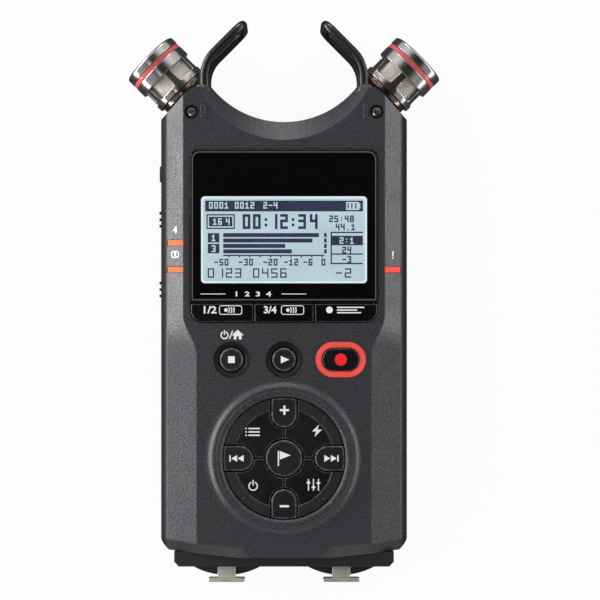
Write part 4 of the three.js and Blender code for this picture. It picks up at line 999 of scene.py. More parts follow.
# %% The bent rod tree
rod_tree = Growth("bent rod", {"Rod radius": 0.0013, "Rod sides": 32, "Corner steps": 14})
bend = rod_tree.put("GeometryNodeInputNamedAttribute", {"Name": "bend"}, data_type="FLOAT")
bent = rod_tree.put("GeometryNodeFilletCurve", {
    "Curve": rod_tree.put("GeometryNodeMeshToCurve", {"Mesh": rod_tree.given["Geometry"]}),
    "Count": rod_tree.given["Corner steps"], "Radius": bend.outputs["Attribute"]}, mode="POLY")
ring = rod_tree.put("GeometryNodeCurvePrimitiveCircle", {
    "Resolution": rod_tree.given["Rod sides"], "Radius": rod_tree.given["Rod radius"]})
swept = rod_tree.put("GeometryNodeCurveToMesh", {
    "Curve": bent, "Profile Curve": ring, "Fill Caps": True})
rod_tree.end(rod_tree.put("GeometryNodeSetShadeSmooth", {"Geometry": swept}))


# %% [markdown]
# A turned part is its outline spun round an axis. `turned` does that in mesh code, and closes the
# poles and the walls itself, so nothing is left open.

# %% Turned parts
def turned(outline, steps=72, where=Matrix.Identity(4)):
    """A mesh spun round Z from (radius, height) points in millimetres; radius 0 makes a pole."""
    shape = bmesh.new()
    rings = []
    for radius, height in outline:
        angles = [2 * math.pi * i / steps for i in range(steps)] if radius else [0]
        rings.append([shape.verts.new((
            radius * MM * math.cos(t), radius * MM * math.sin(t), height * MM)) for t in angles])
    pairs = list(zip(rings, rings[1:]))
    if outline[0][0] != 0 and outline[-1][0] != 0:
        pairs.append((rings[-1], rings[0]))
    for lower, upper in pairs:
        for i in range(steps):
            j = (i + 1) % steps
            corners = [lower[i % len(lower)], lower[j % len(lower)],
                       upper[j % len(upper)], upper[i % len(upper)]]
            shape.faces.new(list(dict.fromkeys(corners))).smooth = True
    bmesh.ops.recalc_face_normals(shape, faces=shape.faces)
    bmesh.ops.transform(shape, matrix=where, verts=shape.verts)
    return closed(shape, bpy.data.meshes.new("turned"))


def joined(name, meshes, finishes):
    """Several meshes as one, each with its own finish."""
    shape = bmesh.new()
    for mesh, finish in zip(meshes, finishes):
        start = len(shape.faces)
        shape.from_mesh(mesh)
        shape.faces.ensure_lookup_table()
        index = list(dict.fromkeys(finishes)).index(finish)
        for face in shape.faces[start:]:
            face.material_index = index
    whole = bpy.data.meshes.new(name)
    for finish in dict.fromkeys(finishes):
        whole.materials.append(finish)
    return closed(shape, whole)


print("turning and joining ready")

# %% [markdown]
# The rod's path runs up from its front foot, over the shoulder to the tip, through the depth and
# down again to the rear foot. At each foot the rod stands in a moulded flare, which is turned, and
# rod and flares are joined to one piece, as nothing moves between them.

# %% Guards on the horns
ROD_RADIUS = 1.3
LEG_FOOT_Y = 131.0
SHOULDER_Y = 143.3
TIP_X = 11.8
TIP_Y = 154.1
FRONT_LEG_Z = 28.25
REAR_LEG_Z = 6.75
SHOULDER_BEND = 10.1
TIP_BEND = 3.4
FOOT_FLARE = ((0, 131.0), (1.9, 131.0), (2.0, 134.0), (3.2, 134.4), (3.4, 134.9), (3.15, 135.6),
              (2.7, 136.2), (2.1, 136.7), (1.5, 136.9), (0, 136.9))
FRONT_SPREAD = 0.6
REAR_SPREAD = 0.62


def moved(x, y, z):
    """The move from the frame's origin to such a point."""
    return Matrix.Translation(place(x, y, z))


def turn(degrees, axis):
    """A turn about one axis."""
    return Matrix.Rotation(math.radians(degrees), 4, axis)


leg = [(PIVOT[0], LEG_FOOT_Y, 0.0), (PIVOT[0], SHOULDER_Y, SHOULDER_BEND), (TIP_X, TIP_Y, TIP_BEND)]
corners = [(*corner, FRONT_LEG_Z) for corner in leg] + [(*corner, REAR_LEG_Z) for corner in leg[::-1]]
for side, name in SIDES:
    line = bpy.data.meshes.new("guard_path")
    line.from_pydata([place(side * x, y, z) for x, y, _, z in corners],
                     [(i, i + 1) for i in range(len(corners) - 1)], [])
    bends = line.attributes.new("bend", "FLOAT", "POINT")
    bends.data.foreach_set("value", [radius * MM for _, _, radius, _ in corners])
    parts = [grown("guard_rod_" + name, rod_tree, {
        "Rod radius": ROD_RADIUS * MM, "Finish": rod_black}, base=line)]
    for z, spread in ((FRONT_LEG_Z, FRONT_SPREAD), (REAR_LEG_Z, REAR_SPREAD)):
        parts.append(turned([(radius * spread, y) for radius, y in FOOT_FLARE],
                            where=moved(side * PIVOT[0], 0, z) @ turn(-90, "X")))
    mesh = joined("guard_" + name, parts, [rod_black, housing_grey, housing_grey])
    settle("guard_rod_" + name, mesh, "housing", ("guard_" + name,))
    print("guard_rod_" + name, len(mesh.polygons), "faces")

# %% [markdown]
# ## Flat parts and prints
#
# The display window, the printed signs and the lines on the display are all flat outlines with some
# thickness. A flat curve fills itself, holes and all, and a small bevel rounds its rim.

# %% Plates from outlines
RIM_CRISP = 50


def plate(name, loops, low, high, finish, rim=0.0):
    """A flat plate between two heights from closed loops of (x, y) points in millimetres."""
    data = bpy.data.curves.new(name, "CURVE")
    data.dimensions = "2D"
    data.fill_mode = "BOTH"
    data.extrude = ((high - low) / 2 - rim) * MM
    data.bevel_depth = rim * MM
    data.bevel_resolution = 2
    data.offset = -rim * MM
    for loop in loops:
        spline = data.splines.new("POLY")
        spline.points.add(len(loop) - 1)
        for point, (x, y) in zip(spline.points, loop):
            point.co = (*place(x, y, 0), 1)
        spline.use_cyclic_u = True
    mesh = plain_mesh(linked(name + "_outline", data))
    mesh.transform(Matrix.Translation((0, 0, (low + high) / 2 * MM)))
    shape = opened(dressed(mesh, finish))
    bmesh.ops.remove_doubles(shape, verts=shape.verts, dist=MERGE)
    bmesh.ops.recalc_face_normals(shape, faces=shape.faces)
    for face in shape.faces:
        face.material_index = 0
        face.smooth = rim > 0
    closed(shape, mesh)
    return evenly_shaded(crisp(mesh, RIM_CRISP)) if rim > 0 else mesh


print("plates ready")


# %% [markdown]
# Most outlines are boxes with square or round corners. They are plain lists of points, so one is
# easily drawn in, and a smaller one that runs the other way round is a hole in a larger one.

# %% Outlines
def inset(box, by):
    """A box (left, low, right, high) drawn in on all sides, or let out by a negative inset."""
    return (box[0] + by, box[1] + by, box[2] - by, box[3] - by)


def arc(cx, cy, radius, start, end, steps):
    """Points along an arc between two angles in degrees."""
    angles = [math.radians(start + (end - start) * i / steps) for i in range(steps + 1)]
    return [(cx + radius * math.cos(t), cy + radius * math.sin(t)) for t in angles]


def box_loop(left, low, right, high, corner=0.0, steps=6):
    """A rectangle as a loop, with rounded corners if a corner radius is given."""
    if corner == 0:
        return [(left, low), (right, low), (right, high), (left, high)]
    return [point for cx, cy, start in (
        (right - corner, low + corner, -90), (right - corner, high - corner, 0),
        (left + corner, high - corner, 90), (left + corner, low + corner, 180))
        for point in arc(cx, cy, corner, start, start + 90, steps)]


print("outlines ready")

# %% [markdown]
# The display window is a polished black plate with an opening. Under it lies the lit display. The
# frame's window solid is one closed plate, so the plate with its opening stands for it. A thin grey
# line just inside the window's rim is a painted highlight of its chamfer.

# %% Display window and lit sheet
WINDOW = (-26.5, 75.1, 26.5, 118.1)
WINDOW_CORNER = 2.8
WINDOW_LOW = 32.3
WINDOW_TOP = 33.7
WINDOW_RIM = 0.12
CORNER_STEPS = 10
VIEW = (-23.35, 80.45, 23.35, 104.9)
VIEW_CORNER = 1.0
SHEET_LOW = 32.0
SHEET_TOP = 32.55
SHEET_MARGIN = 0.5
LIT_EDGE = 0.55
LIT_CORNER = 0.8
HIGHLIGHT_INSETS = (0.5, 0.85)
PRINT_THICK = 0.02


def window_loop(by):
    """The window's outline, drawn in; only its upper corners are round."""
    box = inset(WINDOW, by)
    whole = box_loop(*box, WINDOW_CORNER - by, CORNER_STEPS)
    return box_loop(*box)[:2] + whole[CORNER_STEPS + 1:3 * (CORNER_STEPS + 1)]


window = plate("display_window_plate", [window_loop(0), box_loop(*VIEW, VIEW_CORNER)[::-1]],
               WINDOW_LOW, WINDOW_TOP, gloss_black, rim=WINDOW_RIM)
settle("display_window_plate", window, "housing", ("display_window",))
# a thin grey line inside the window's rim is a painted highlight of its chamfer
outer_highlight, inner_highlight = (window_loop(by) for by in HIGHLIGHT_INSETS)
sheet = box_loop(*inset(VIEW, -SHEET_MARGIN))
for name, loops, low, high, finish, slot in (
        ("window_line", [outer_highlight, inner_highlight[::-1]], WINDOW_TOP - PRINT_THICK,
         WINDOW_TOP + PRINT_THICK, rim_highlight_grey, "gloss_black"),
        ("display_sheet", [sheet], SHEET_LOW, SHEET_TOP, lcd_light, "lcd_blue"),
        ("display_lit_edge", [sheet, box_loop(*inset(VIEW, LIT_EDGE), LIT_CORNER)[::-1]],
         SHEET_TOP, SHEET_TOP + PRINT_THICK, lcd_edge, "lcd_blue")):
    settle(name, plate(name, loops, low, high, finish), "housing")
print("window", len(window.polygons), "faces")

# %% [markdown]
# A display of this kind has square dots, 128 by 64. What it shows is drawn here dot by dot: level
# bars, their scale, a counter in plain numbers and a battery sign. The drawing is a set of cells.
# A set is handy here, because a block or a number can be added to it or taken out of it.

# %% Numbers made of dots
DIGITS = {
    "0": "111101101101111", "1": "010110010010111", "2": "111001111100111",
    "3": "111001011001111", "4": "101101111001001", "5": "111100111001111",
    "6": "111100111101111", "8": "111101111101111", ".": "000000000000010",
    "-": "000000111000000", ":": "000010000010000"}
BIG_SEGMENTS = {
    "0": "abcdef", "1": "bc", "2": "abged", "3": "abgcd", "4": "fgbc", "5": "afgcd",
    "6": "afgedc"}
cells = set()


def block(left, top, right, bottom):
    """The dots of a block, ends included; rows count from the top."""
    return {(x, y) for x in range(left, right + 1) for y in range(top, bottom + 1)}


def small_number(text, left, top):
    """The dots of digits three dots wide and five high."""
    return {(left + order * 4 + spot % 3, top + spot // 3) for order, digit in enumerate(text)
            for spot, dot in enumerate(DIGITS[digit]) if dot == "1"}


def big_digit(digit, left, top, wide=6, high=11, stroke=2):
    """Draws one digit from seven bars with thick strokes."""
    right, middle, low = left + wide - 1, top + high // 2, top + high - 1
    bars = {
        "a": (left, top, right, top + stroke - 1), "d": (left, low - stroke + 1, right, low),
        "g": (left, middle - stroke // 2, right, middle + (stroke - 1) // 2),
        "f": (left, top, left + stroke - 1, middle), "e": (left, middle, left + stroke - 1, low),
        "b": (right - stroke + 1, top, right, middle), "c": (right - stroke + 1, middle, right, low)}
    for segment in BIG_SEGMENTS[digit]:
        cells.update(block(*bars[segment]))


print(len(DIGITS), "small signs and", len(BIG_SEGMENTS), "big digits")

# %% What the display shows
DOTS_WIDE = 128
DOTS_HIGH = 64
# blocks (left, top, right, bottom): the top bar with its battery, the framed field, the level bars
# with their scale, and the list on the right; then what is cut out of them again
BATTERY = ((113, 5, 121, 8), (122, 4, 122, 4), (122, 9, 122, 9))
FIELD = (6, 15, 23, 21)
LEVEL_BARS = ((27, 90), (31, 85), (35, 64), (39, 69))
DARK = [(3, 3, 124, 10), (4, 13, 25, 23), (17, 43, 94, 43), (100, 26, 100, 49), (101, 29, 124, 35)]
DARK += [(colon, y, colon + 1, y + 1) for colon in (49, 70) for y in (16, 20)]
DARK += [(17, top, end, top + 2) for top, end in LEVEL_BARS]
DARK += [(95, top, 96, top + 2) for top, _ in LEVEL_BARS] + [(5, top, 13, top + 6) for top in (27, 35)]
DARK += [(x, 43, x, 43 + (x - 17) % 8 // 4) for x in range(17, 95, 4)]
DARK += [(100, top, 124, top) for top in (26, 42, 49)] + [(104, 56, 108, 56)]
for box in DARK:
    cells |= block(*box)
cells -= block(112, 4, 122, 9) | block(5, 14, 24, 22)
for box in (*BATTERY, FIELD):
    cells |= block(*box)
for left in (114, 117, 120):
    cells -= block(left, 5, left + 1, 8)
LIGHT_NUMBERS = (("0001", 6, 4), ("0012", 26, 4), ("2-4", 48, 4), ("16", 9, 16), ("4", 19, 16),
                 ("1", 8, 28), ("3", 8, 36), ("2:1", 107, 30))
DARK_NUMBERS = (("25:48", 99, 14), ("44.1", 104, 20), ("24", 109, 37), ("-3", 109, 44),
                ("-50", 10, 46), ("-30", 29, 46), ("-20", 48, 46), ("-12", 64, 46), ("-6", 79, 46),
                ("0", 93, 46))
for number in LIGHT_NUMBERS:
    cells -= small_number(*number)
for number in DARK_NUMBERS:
    cells |= small_number(*number)
for digit, left in zip("001234", (32, 40, 53, 61, 75, 84)):
    big_digit(digit, left, 13)
for digit, left in zip("012304562", (5, 12, 19, 26, 40, 47, 54, 61, 111)):
    big_digit(digit, left, 53, wide=5, high=7, stroke=1)
print(len(cells), "of", DOTS_WIDE * DOTS_HIGH, "dots are dark")

# %% [markdown]
# Every dark cell could be an object of its own, but thousands of objects are slow. Geometry Nodes
# put one tile on each point of a mesh, so the script only gives the points and the tile's size.

# %% Dots on the display
TILE_SHARE = 0.985
TILE_THICK = 0.03

dot_tree = Growth("display dots", {"Tile": (0.0003, 0.0003, 0.00003)})
dot_tree.end(dot_tree.put("GeometryNodeInstanceOnPoints", {
    "Points": dot_tree.given["Geometry"],
    "Instance": dot_tree.put("GeometryNodeMeshCube", {"Size": dot_tree.given["Tile"]})}))

dot_wide = (VIEW[2] - VIEW[0]) / DOTS_WIDE
dot_high = (VIEW[3] - VIEW[1]) / DOTS_HIGH
spots = bpy.data.meshes.new("dot_places")
spots.from_pydata(
    [place(VIEW[0] + (x + 0.5) * dot_wide, VIEW[3] - (y + 0.5) * dot_high, SHEET_TOP)
     for x, y in sorted(cells)], [], [])
dots = grown("display_dots", dot_tree, {
    "Tile": (dot_wide * TILE_SHARE * MM, dot_high * TILE_SHARE * MM, TILE_THICK * MM),
    "Finish": lcd_dot}, base=spots)
settle("display_dots", dots, "housing")
print("display dots", len(dots.polygons), "faces")

# %% [markdown]
# Signs on the keys are white ink, a few hundredths of a millimetre thick. Each key carries its own
# sign, so that the sign goes down with it. A sign is a plate with its outline given point by point.

# %% Outlines of signs
INK_THICK = 0.03
POWER_LINE = 0.35
POWER_OPENING = (115, 425)
HALF_STROKE = 0.17


def triangle_loop(cx, half_wide, half_high, cy=DIAL_Y, side=1):
    """A triangle that points right, or left with side -1."""
    return [(cx - side * half_wide, cy - half_high), (cx + side * half_wide, cy),
            (cx - side * half_wide, cy + half_high)]


def plus_loop(cx, cy, a, s):
    """An upright cross with an arm a and half a stroke s."""
    return [(cx + x, cy + y) for x, y in (
        (-s, -a), (s, -a), (s, -s), (a, -s), (a, s), (s, s), (s, a), (-s, a), (-s, s), (-a, s),
        (-a, -s), (-s, -s))]


def circle_loop(cx, cy, radius, steps=40):
    """A circle as a loop."""
    return [(cx + radius * math.cos(2 * math.pi * i / steps),
             cy + radius * math.sin(2 * math.pi * i / steps)) for i in range(steps)]


def arc_loop(cx, cy, outer, inner, start, end, steps=24):
    """A piece of a ring between two angles in degrees."""
    return arc(cx, cy, outer, start, end, steps) + arc(cx, cy, inner, start, end, steps)[::-1]


def power_loops(x, y, outer, low, high):
    """The power sign: a ring open at its top, and a stroke in the opening."""
    return [arc_loop(x, y, outer, outer - POWER_LINE, *POWER_OPENING),
            box_loop(x - HALF_STROKE, low, x + HALF_STROKE, high)]


def sign(name, loops, top, body, finish=white_ink):
    """A printed sign that stands on a surface at that height."""
    return settle(name, plate(name, loops, top - INK_THICK, top + INK_THICK, finish), body)


def top_of(node):
    """The height of a solid's top, in millimetres."""
    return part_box(node)[1].z / MM


print("signs can be drawn")

# %% [markdown]
# The round keys have a square, a triangle and a filled circle, and the arms of the dial have a
# plus, a minus and the two skip signs. A power sign and a small house stand above the keys.

# %% Signs on the keys and above them
FACE = 33.5
KEY_ROW_Y = 58.9
KEY_TOP = top_of("play_key")
DIAL_TOP = top_of("plus_key")
sign("stop_sign", [box_loop(-15.75, 57.95, -13.85, 59.85)], KEY_TOP, "stop_key")
sign("play_sign", [triangle_loop(0.3, 1.2, 1.05, cy=KEY_ROW_Y)], KEY_TOP, "play_key")
sign("record_sign", [circle_loop(16.0, KEY_ROW_Y, 1.72)], top_of("record_key"), "record_key", red_ink)
sign("plus_sign", [plus_loop(0.1, 44.7, 1.3, 0.3)], DIAL_TOP, "plus_key")
sign("minus_sign", [box_loop(-1.2, 17.35, 1.4, 17.95)], DIAL_TOP, "minus_key")
for name, side, stop in (("back", -1, -15.2), ("forward", 1, 15.2)):
    sign(name + "_sign", [box_loop(stop - 0.2, 30.2, stop + 0.2, 32.0)] + [
        triangle_loop(side * x, 0.85, 0.95, side=side) for x in (14.05, 12.2)], DIAL_TOP, name + "_key")
sign("power_sign", power_loops(-16.75, 65.8, 1.15, 65.9, 67.2), FACE, "housing")
sign("slash_sign", [[(-15.5, 64.7), (-15.15, 64.7), (-14.3, 67.1), (-14.65, 67.1)]], FACE, "housing")
sign("home_sign", [[
    (-14.75, 65.75), (-13.05, 67.35), (-11.35, 65.75), (-11.95, 65.75), (-11.95, 64.6),
    (-12.7, 64.6), (-12.7, 65.5), (-13.4, 65.5), (-13.4, 64.6), (-14.15, 64.6), (-14.15, 65.75)]],
    FACE, "housing")
print("signs on keys ready")

# %% [markdown]
# The dial sits in a collar that rises to a soft crest and falls again towards the keys. The solid has
# only its outer slope, so the visual collar is two turned rings, one for each slope. The inner slope is
# near-black, which is painted shade. The round keys' dishes get a near-black liner, which is painted
# shade in the recess, with a faint line round it where the mould's insert met.

# %% Collar and painted-shade dish liners
INNER_SLOPE = ((17.45, 32.6), (17.5, 33.3), (18.1, 33.75), (18.7, 34.15), (19.0, 34.3),
               (18.9, 33.0))
COLLAR = ((18.95, 33.0), (18.95, 34.3), (19.2, 34.5), (19.6, 34.66), (19.9, 34.68), (20.2, 34.56),
          (20.5, 34.35), (20.8, 34.12), (21.1, 33.88), (21.4, 33.68), (21.8, 33.56), (22.3, 33.51),
          (23.2, 33.49), (23.2, 33.0))
DISH_SHADE_LINER = ((3.6, 32.92), (4.93, 33.56), (5.12, 33.56), (5.12, 33.4), (4.9, 33.35), (3.6, 32.7))

# the collar's inner slope is near-black, which is painted shade
collar = joined("dial_collar", [
    turned(ring, steps=144, where=moved(0, DIAL_Y, 0)) for ring in (COLLAR, INNER_SLOPE)],
    [housing_grey, shade_liner_black])
settle("dial_collar", crisp(collar), "housing")
# each dish gets a near-black liner, which is painted shade in the recess
for name, x in (("stop", -14.8), ("play", 0.0)):
    dish_shade_mesh = dressed(turned(DISH_SHADE_LINER, steps=96, where=moved(x, KEY_ROW_Y, 0)), shade_liner_black)
    settle(name + "_dish_shade_liner", crisp(dish_shade_mesh), "housing")
print("collar", len(collar.polygons), "faces")

# %% [markdown]
# Some prints are numbers. A number is a text in Blender's own letters, made a little bolder, turned
# into a mesh and fitted into its box.

# %% Printed numbers
BOLDER = 0.025


def text_sign(name, text, box, top, body):
    """A printed number fitted into a box (left, low, right, high) on a surface at that height."""
    data = bpy.data.curves.new(name, "FONT")
    data.body = text
    data.resolution_u = 4
    data.extrude = INK_THICK * MM
    data.offset = BOLDER
    mesh = dressed(plain_mesh(linked(name + "_text", data)), white_ink)
    xs = [corner.co.x for corner in mesh.vertices]
    ys = [corner.co.y for corner in mesh.vertices]
    left, low, right, high = box
    wide = (right - left) * MM / (max(xs) - min(xs))
    tall = (high - low) * MM / (max(ys) - min(ys))
    spot = place(left, low, top)
    for corner in mesh.vertices:
        corner.co = (spot.x + (corner.co.x - min(xs)) * wide, spot.y + (corner.co.y - min(ys)) * tall,
                     spot.z + corner.co.z)
    shape = opened(mesh)
    bmesh.ops.remove_doubles(shape, verts=shape.verts, dist=MERGE / 4)
    return settle(name, closed(shape, mesh), body)


print("numbers can be printed")

# %% [markdown]
# The soft keys work through a black rubber sheet, which also hides the board under them. Their
# prints are plain numbers, framed dots and bars.

# %% Soft key sheet and prints
RUBBER_LOW, RUBBER_TOP = 28.15, 28.45
FRAME_LOW, FRAME_HIGH = 71.55, 74.2
FRAME_LINE = 0.22
FRAME_CORNERS = (0.7, 0.5)
DOT_RADIUS = 0.5
DOT_ASIDE = 1.3
# outer radius and half angle of the arcs beside a dot
WAVES = ((1.15, 48), (1.8, 29), (2.45, 21))
WAVE_LINE = 0.3
NUMBER_LOW, NUMBER_HIGH = 71.9, 74.0
NUMBER_WIDE = 3.6

settle("soft_key_sheet", plate(
    "soft_key_sheet", [box_loop(-27.0, 69.0, 27.0, 75.6)], RUBBER_LOW, RUBBER_TOP, rubber_and_shade_black),
    "housing")
SOFT_TOP = top_of("soft_key_left")
for name, left, right, number, spot in (
        ("left", -18.3, -11.8, "1/2", -22.6), ("middle", -0.85, 5.65, "3/4", -5.7)):
    box = (left, FRAME_LOW, right, FRAME_HIGH)
    dot = ((left + right) / 2 - DOT_ASIDE, (FRAME_LOW + FRAME_HIGH) / 2)
    loops = [box_loop(*box, FRAME_CORNERS[0]),
             box_loop(*inset(box, FRAME_LINE), FRAME_CORNERS[1])[::-1],
             circle_loop(*dot, DOT_RADIUS, 20)]
    loops += [arc_loop(*dot, radius, radius - WAVE_LINE, -half, half, 10) for radius, half in WAVES]
    sign(f"soft_{name}_frame", loops, SOFT_TOP, f"soft_key_{name}")
    text_sign(f"soft_{name}_number", number, (spot, NUMBER_LOW, spot + NUMBER_WIDE, NUMBER_HIGH),
              SOFT_TOP, f"soft_key_{name}")
sign("soft_right_sign", [
    circle_loop(12.8, 72.9, 0.95, 28), box_loop(14.9, 73.45, 22.6, 73.8),
    box_loop(14.9, 72.7, 20.6, 73.05), box_loop(14.9, 71.95, 21.7, 72.3)], SOFT_TOP, "soft_key_right")
sign("window_bracket", [box_loop(-23.5, 77.3, -16.5, 77.5), box_loop(-0.7, 77.3, 6.3, 77.5)],
     WINDOW_TOP, "housing")
text_sign("window_tracks", "1  2  3  4", (-13.6, 76.7, -3.6, 78.1), WINDOW_TOP, "housing")
print("soft keys print ready")

# %% [markdown]
# The quadrant keys and the middle key carry plain pictograms: a list, a bolt for a quick step,
# three sliders, a power sign, and a flag for the mark that the middle key sets.

# %% Pictograms of the dial
DISH_DEPTH = 0.35
DISH_TOP = DIAL_TOP - DISH_DEPTH
LIST_ROWS = (39.3, 38.35, 37.4)
SLIDERS = ((6.9, 24.0), (8.3, 22.7), (9.7, 23.9))

sign("menu_sign", [box_loop(left, y, right, y + 0.4) for left, right in (
    (-10.0, -6.8), (-10.9, -10.45)) for y in LIST_ROWS], DISH_TOP, "quadrant_key_upper_left")
sign("quick_sign", [[
    (9.9, 40.6), (7.9, 38.7), (9.1, 38.7), (8.5, 37.1), (10.7, 39.2), (9.4, 39.2)]],
    DISH_TOP, "quadrant_key_upper_right")
sign("mixer_sign", [[(x + aside, y) for aside, y in (
    (-0.16, 22.0), (0.16, 22.0), (0.16, knob), (0.5, knob), (0.5, knob + 0.5), (0.16, knob + 0.5),
    (0.16, 25.3), (-0.16, 25.3), (-0.16, knob + 0.5), (-0.5, knob + 0.5), (-0.5, knob),
    (-0.16, knob))] for x, knob in SLIDERS], DISH_TOP, "quadrant_key_lower_right")
sign("clock_sign", power_loops(-8.7, 23.3, 1.35, 23.4, 25.0), DISH_TOP, "quadrant_key_lower_left")
sign("enter_sign", [box_loop(-1.75, 29.0, -1.4, 33.2), [(-1.2, 33.2), (1.9, 32.0), (-1.2, 30.8)]],
     top_of("enter_key"), "enter_key")
print("dial pictograms ready")

# %% [markdown]
# A plain number, two overlapping rings and a warning stroke stand beside the lamps on the slanted
# facets. The points of a flat curve all lie at one height, so these are drawn round the origin,
# made meshes, and then leaned against the facet.

# %% Prints on the slanted facets
FACET_SLOPE = 43.5
FACET_TOP_X = 28.46
DOWN_FACET = 3.2


def on_facet(piece, side, y):
    """Lays a sign made round the origin of the drawing onto a facet."""
    lean = turn(side * FACET_SLOPE, "Y")
    start = place(side * FACET_TOP_X, y, FACE)
    along = lean @ Vector((side * DOWN_FACET * MM, 0, 0))
    piece.data.transform(Matrix.Translation(start + along) @ lean @ Matrix.Translation(-place(0, 0, 0)))


on_facet(text_sign("lamp_number", "4", (-0.75, -0.95, 0.75, 0.95), 0, "housing"), -1, 95.6)
on_facet(sign("lamp_rings", [loop for x in (-0.6, 0.6) for loop in (
    circle_loop(x, 0, 1.0), circle_loop(x, 0, 0.72)[::-1])], 0, "housing"), -1, 88.6)
on_facet(sign("peak_stroke", [
    [(-0.2, -0.35), (0.2, -0.35), (0.32, 1.1), (-0.32, 1.1)], circle_loop(0, -0.8, 0.26, 16)],
    0, "housing"), 1, 88.4)
print("facet prints ready")

# %% [markdown]
# ## Screws
#
# The screws are all alike: a domed head with a cross cut into it. The script turns the head and
# Geometry Nodes cut the cross, so one tree serves the front and the back.

# %% The screw tree
screw_tree = Growth("cross screw", {"Bar": (0.0014, 0.0003, 0.0006), "Cross height": 0.0})
bar = screw_tree.put("GeometryNodeMeshCube", {"Size": screw_tree.given["Bar"]})
lifted = screw_tree.point(Z=screw_tree.given["Cross height"])
cross = screw_tree.put("GeometryNodeJoinGeometry", {0: [
    screw_tree.put("GeometryNodeTransform", {
        "Geometry": bar, "Translation": lifted, "Rotation": (0.0, 0.0, angle)})
    for angle in (0.0, math.pi / 2)]})
screw_tree.end(screw_tree.put("GeometryNodeMeshBoolean", {
    "Mesh 1": screw_tree.given["Geometry"], "Mesh 2": cross, "Self Intersection": True},
    operation="DIFFERENCE", solver="EXACT"))

# %% [markdown]
# The two front screws sit in wells at the ends of the arch and stand for solids of the frame. Each well
# gets a near-black liner, which is painted shade in the recess. The back ones are extra. A real screw's
# cross stops at any angle, so they aren't turned alike.

# %% Screws in their recesses
SCREW_HEAD = ((0, -6.0), (0.8, -6.0), (0.8, -0.9), (1.3, -0.9), (1.36, -0.75), (1.36, -0.3),
              (1.22, -0.12), (0.8, -0.02), (0, 0))
CROSS = (1.5, 0.34, 1.0)
CROSS_HEIGHT = -0.1
SCREW_AT = (26.1, 128.75, 33.0)
SCREW_TURN = 22
BACK_SCREW_X = 22.4
BACK_SCREW_ROWS = ((16, "low"), (118, "high"))
BACK_SCREW_TOP = 1.6
WELL_SHADE_LINER = ((1.45, 32.12), (1.84, 32.12), (1.84, 33.48), (1.98, 33.53), (1.98, 33.56), (1.74, 33.52),
        (1.74, 32.24), (1.45, 32.24))


def screw(name, steps, where, stands_for=()):
    """One screw; the back ones have no slot, as no solid stands behind them."""
    head = grown(name, screw_tree, {
        "Bar": [size * MM for size in CROSS], "Cross height": CROSS_HEIGHT * MM,
        "Finish": screw_nickel}, base=turned(SCREW_HEAD, steps=steps))
    head.transform(where)
    settle(name, crisp(head), "housing", stands_for)
    return len(head.polygons)


for side, name in SIDES:
    x, y, top = SCREW_AT
    screw("screw_" + name, 40, moved(side * x, y, top) @ turn(side * SCREW_TURN, "Z"),
          ("front_screw_" + name,))
    # the well's near-black liner is painted shade in the recess
    well_shade = dressed(turned(WELL_SHADE_LINER, steps=56, where=moved(side * x, y, 0)), rubber_and_shade_black)
    settle("screw_well_shade_" + name, crisp(well_shade), "housing")
for side, x_name in SIDES:
    for y, y_name in BACK_SCREW_ROWS:
        # any angle will do for a cross, such as the row's own number as radians
        faces = screw(f"back_screw_{y_name}_{x_name}", 32, moved(side * BACK_SCREW_X, y, BACK_SCREW_TOP)
                      @ turn(180, "X") @ Matrix.Rotation(y * side, 4, "Z"))
print("screw head", faces, "faces")

# %% [markdown]
# The tripod bush has a quarter-inch thread, twenty turns to the inch. A thread is a ridge that
# follows a spiral, so the tree sweeps a three-sided ridge along one.

# %% Thread of the tripod bush
THREAD_RADIUS = 3.12
THREAD_PITCH = 1.27
THREAD_LENGTH = 6.4
THREAD_START = 0.7
RIDGE = 0.42

thread_tree = Growth("thread", {"Radius": 0.0031, "Turns": 5.0, "Length": 0.0064, "Ridge": 0.0004})
given = thread_tree.given
spiral = thread_tree.put("GeometryNodeCurveSpiral", {
    "Resolution": 40, "Rotations": given["Turns"], "Start Radius": given["Radius"],
    "End Radius": given["Radius"], "Height": given["Length"]})
ridge = thread_tree.put("GeometryNodeCurvePrimitiveCircle", {"Resolution": 3, "Radius": given["Ridge"]})
thread_tree.end(thread_tree.put("GeometryNodeCurveToMesh", {
    "Curve": spiral, "Profile Curve": ridge, "Fill Caps": True}))

bush_low, bush_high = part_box("tripod_bush")
bush_middle = (bush_low + bush_high) / 2
thread = grown("tripod_thread", thread_tree, {
    "Radius": THREAD_RADIUS * MM, "Turns": THREAD_LENGTH / THREAD_PITCH, "Length": THREAD_LENGTH * MM,
    "Ridge": RIDGE * MM, "Finish": turned_brass})
thread.transform(Matrix.Translation((bush_middle.x, bush_middle.y, THREAD_START * MM)))
settle("tripod_thread", thread, "housing")
print("thread", len(thread.polygons), "faces")

# %% [markdown]
# ## Mouths of the sockets, the port and the speaker
#
# A combination socket takes a jack in its middle and three pins round it. Its pin holes are small cups
# with a contact in each, turned like the screws; the near-black floor of each cup is painted shade.

# %% Pin holes
SOCKET_X = 16.3
SOCKET_Z = 14.5
CORE_FACE = -1.64
PIN_CIRCLE = 5.35
PIN_TURNS = (90, 210, 330)
PIN_RIM = ((0.62, -0.3), (1.12, -0.3), (1.12, 0.06), (1.0, 0.12), (0.86, 0.06), (0.80, -0.05))
PIN_SHADE_FLOOR = ((0, -0.3), (0.84, -0.3), (0.84, 0.02), (0, 0.02))

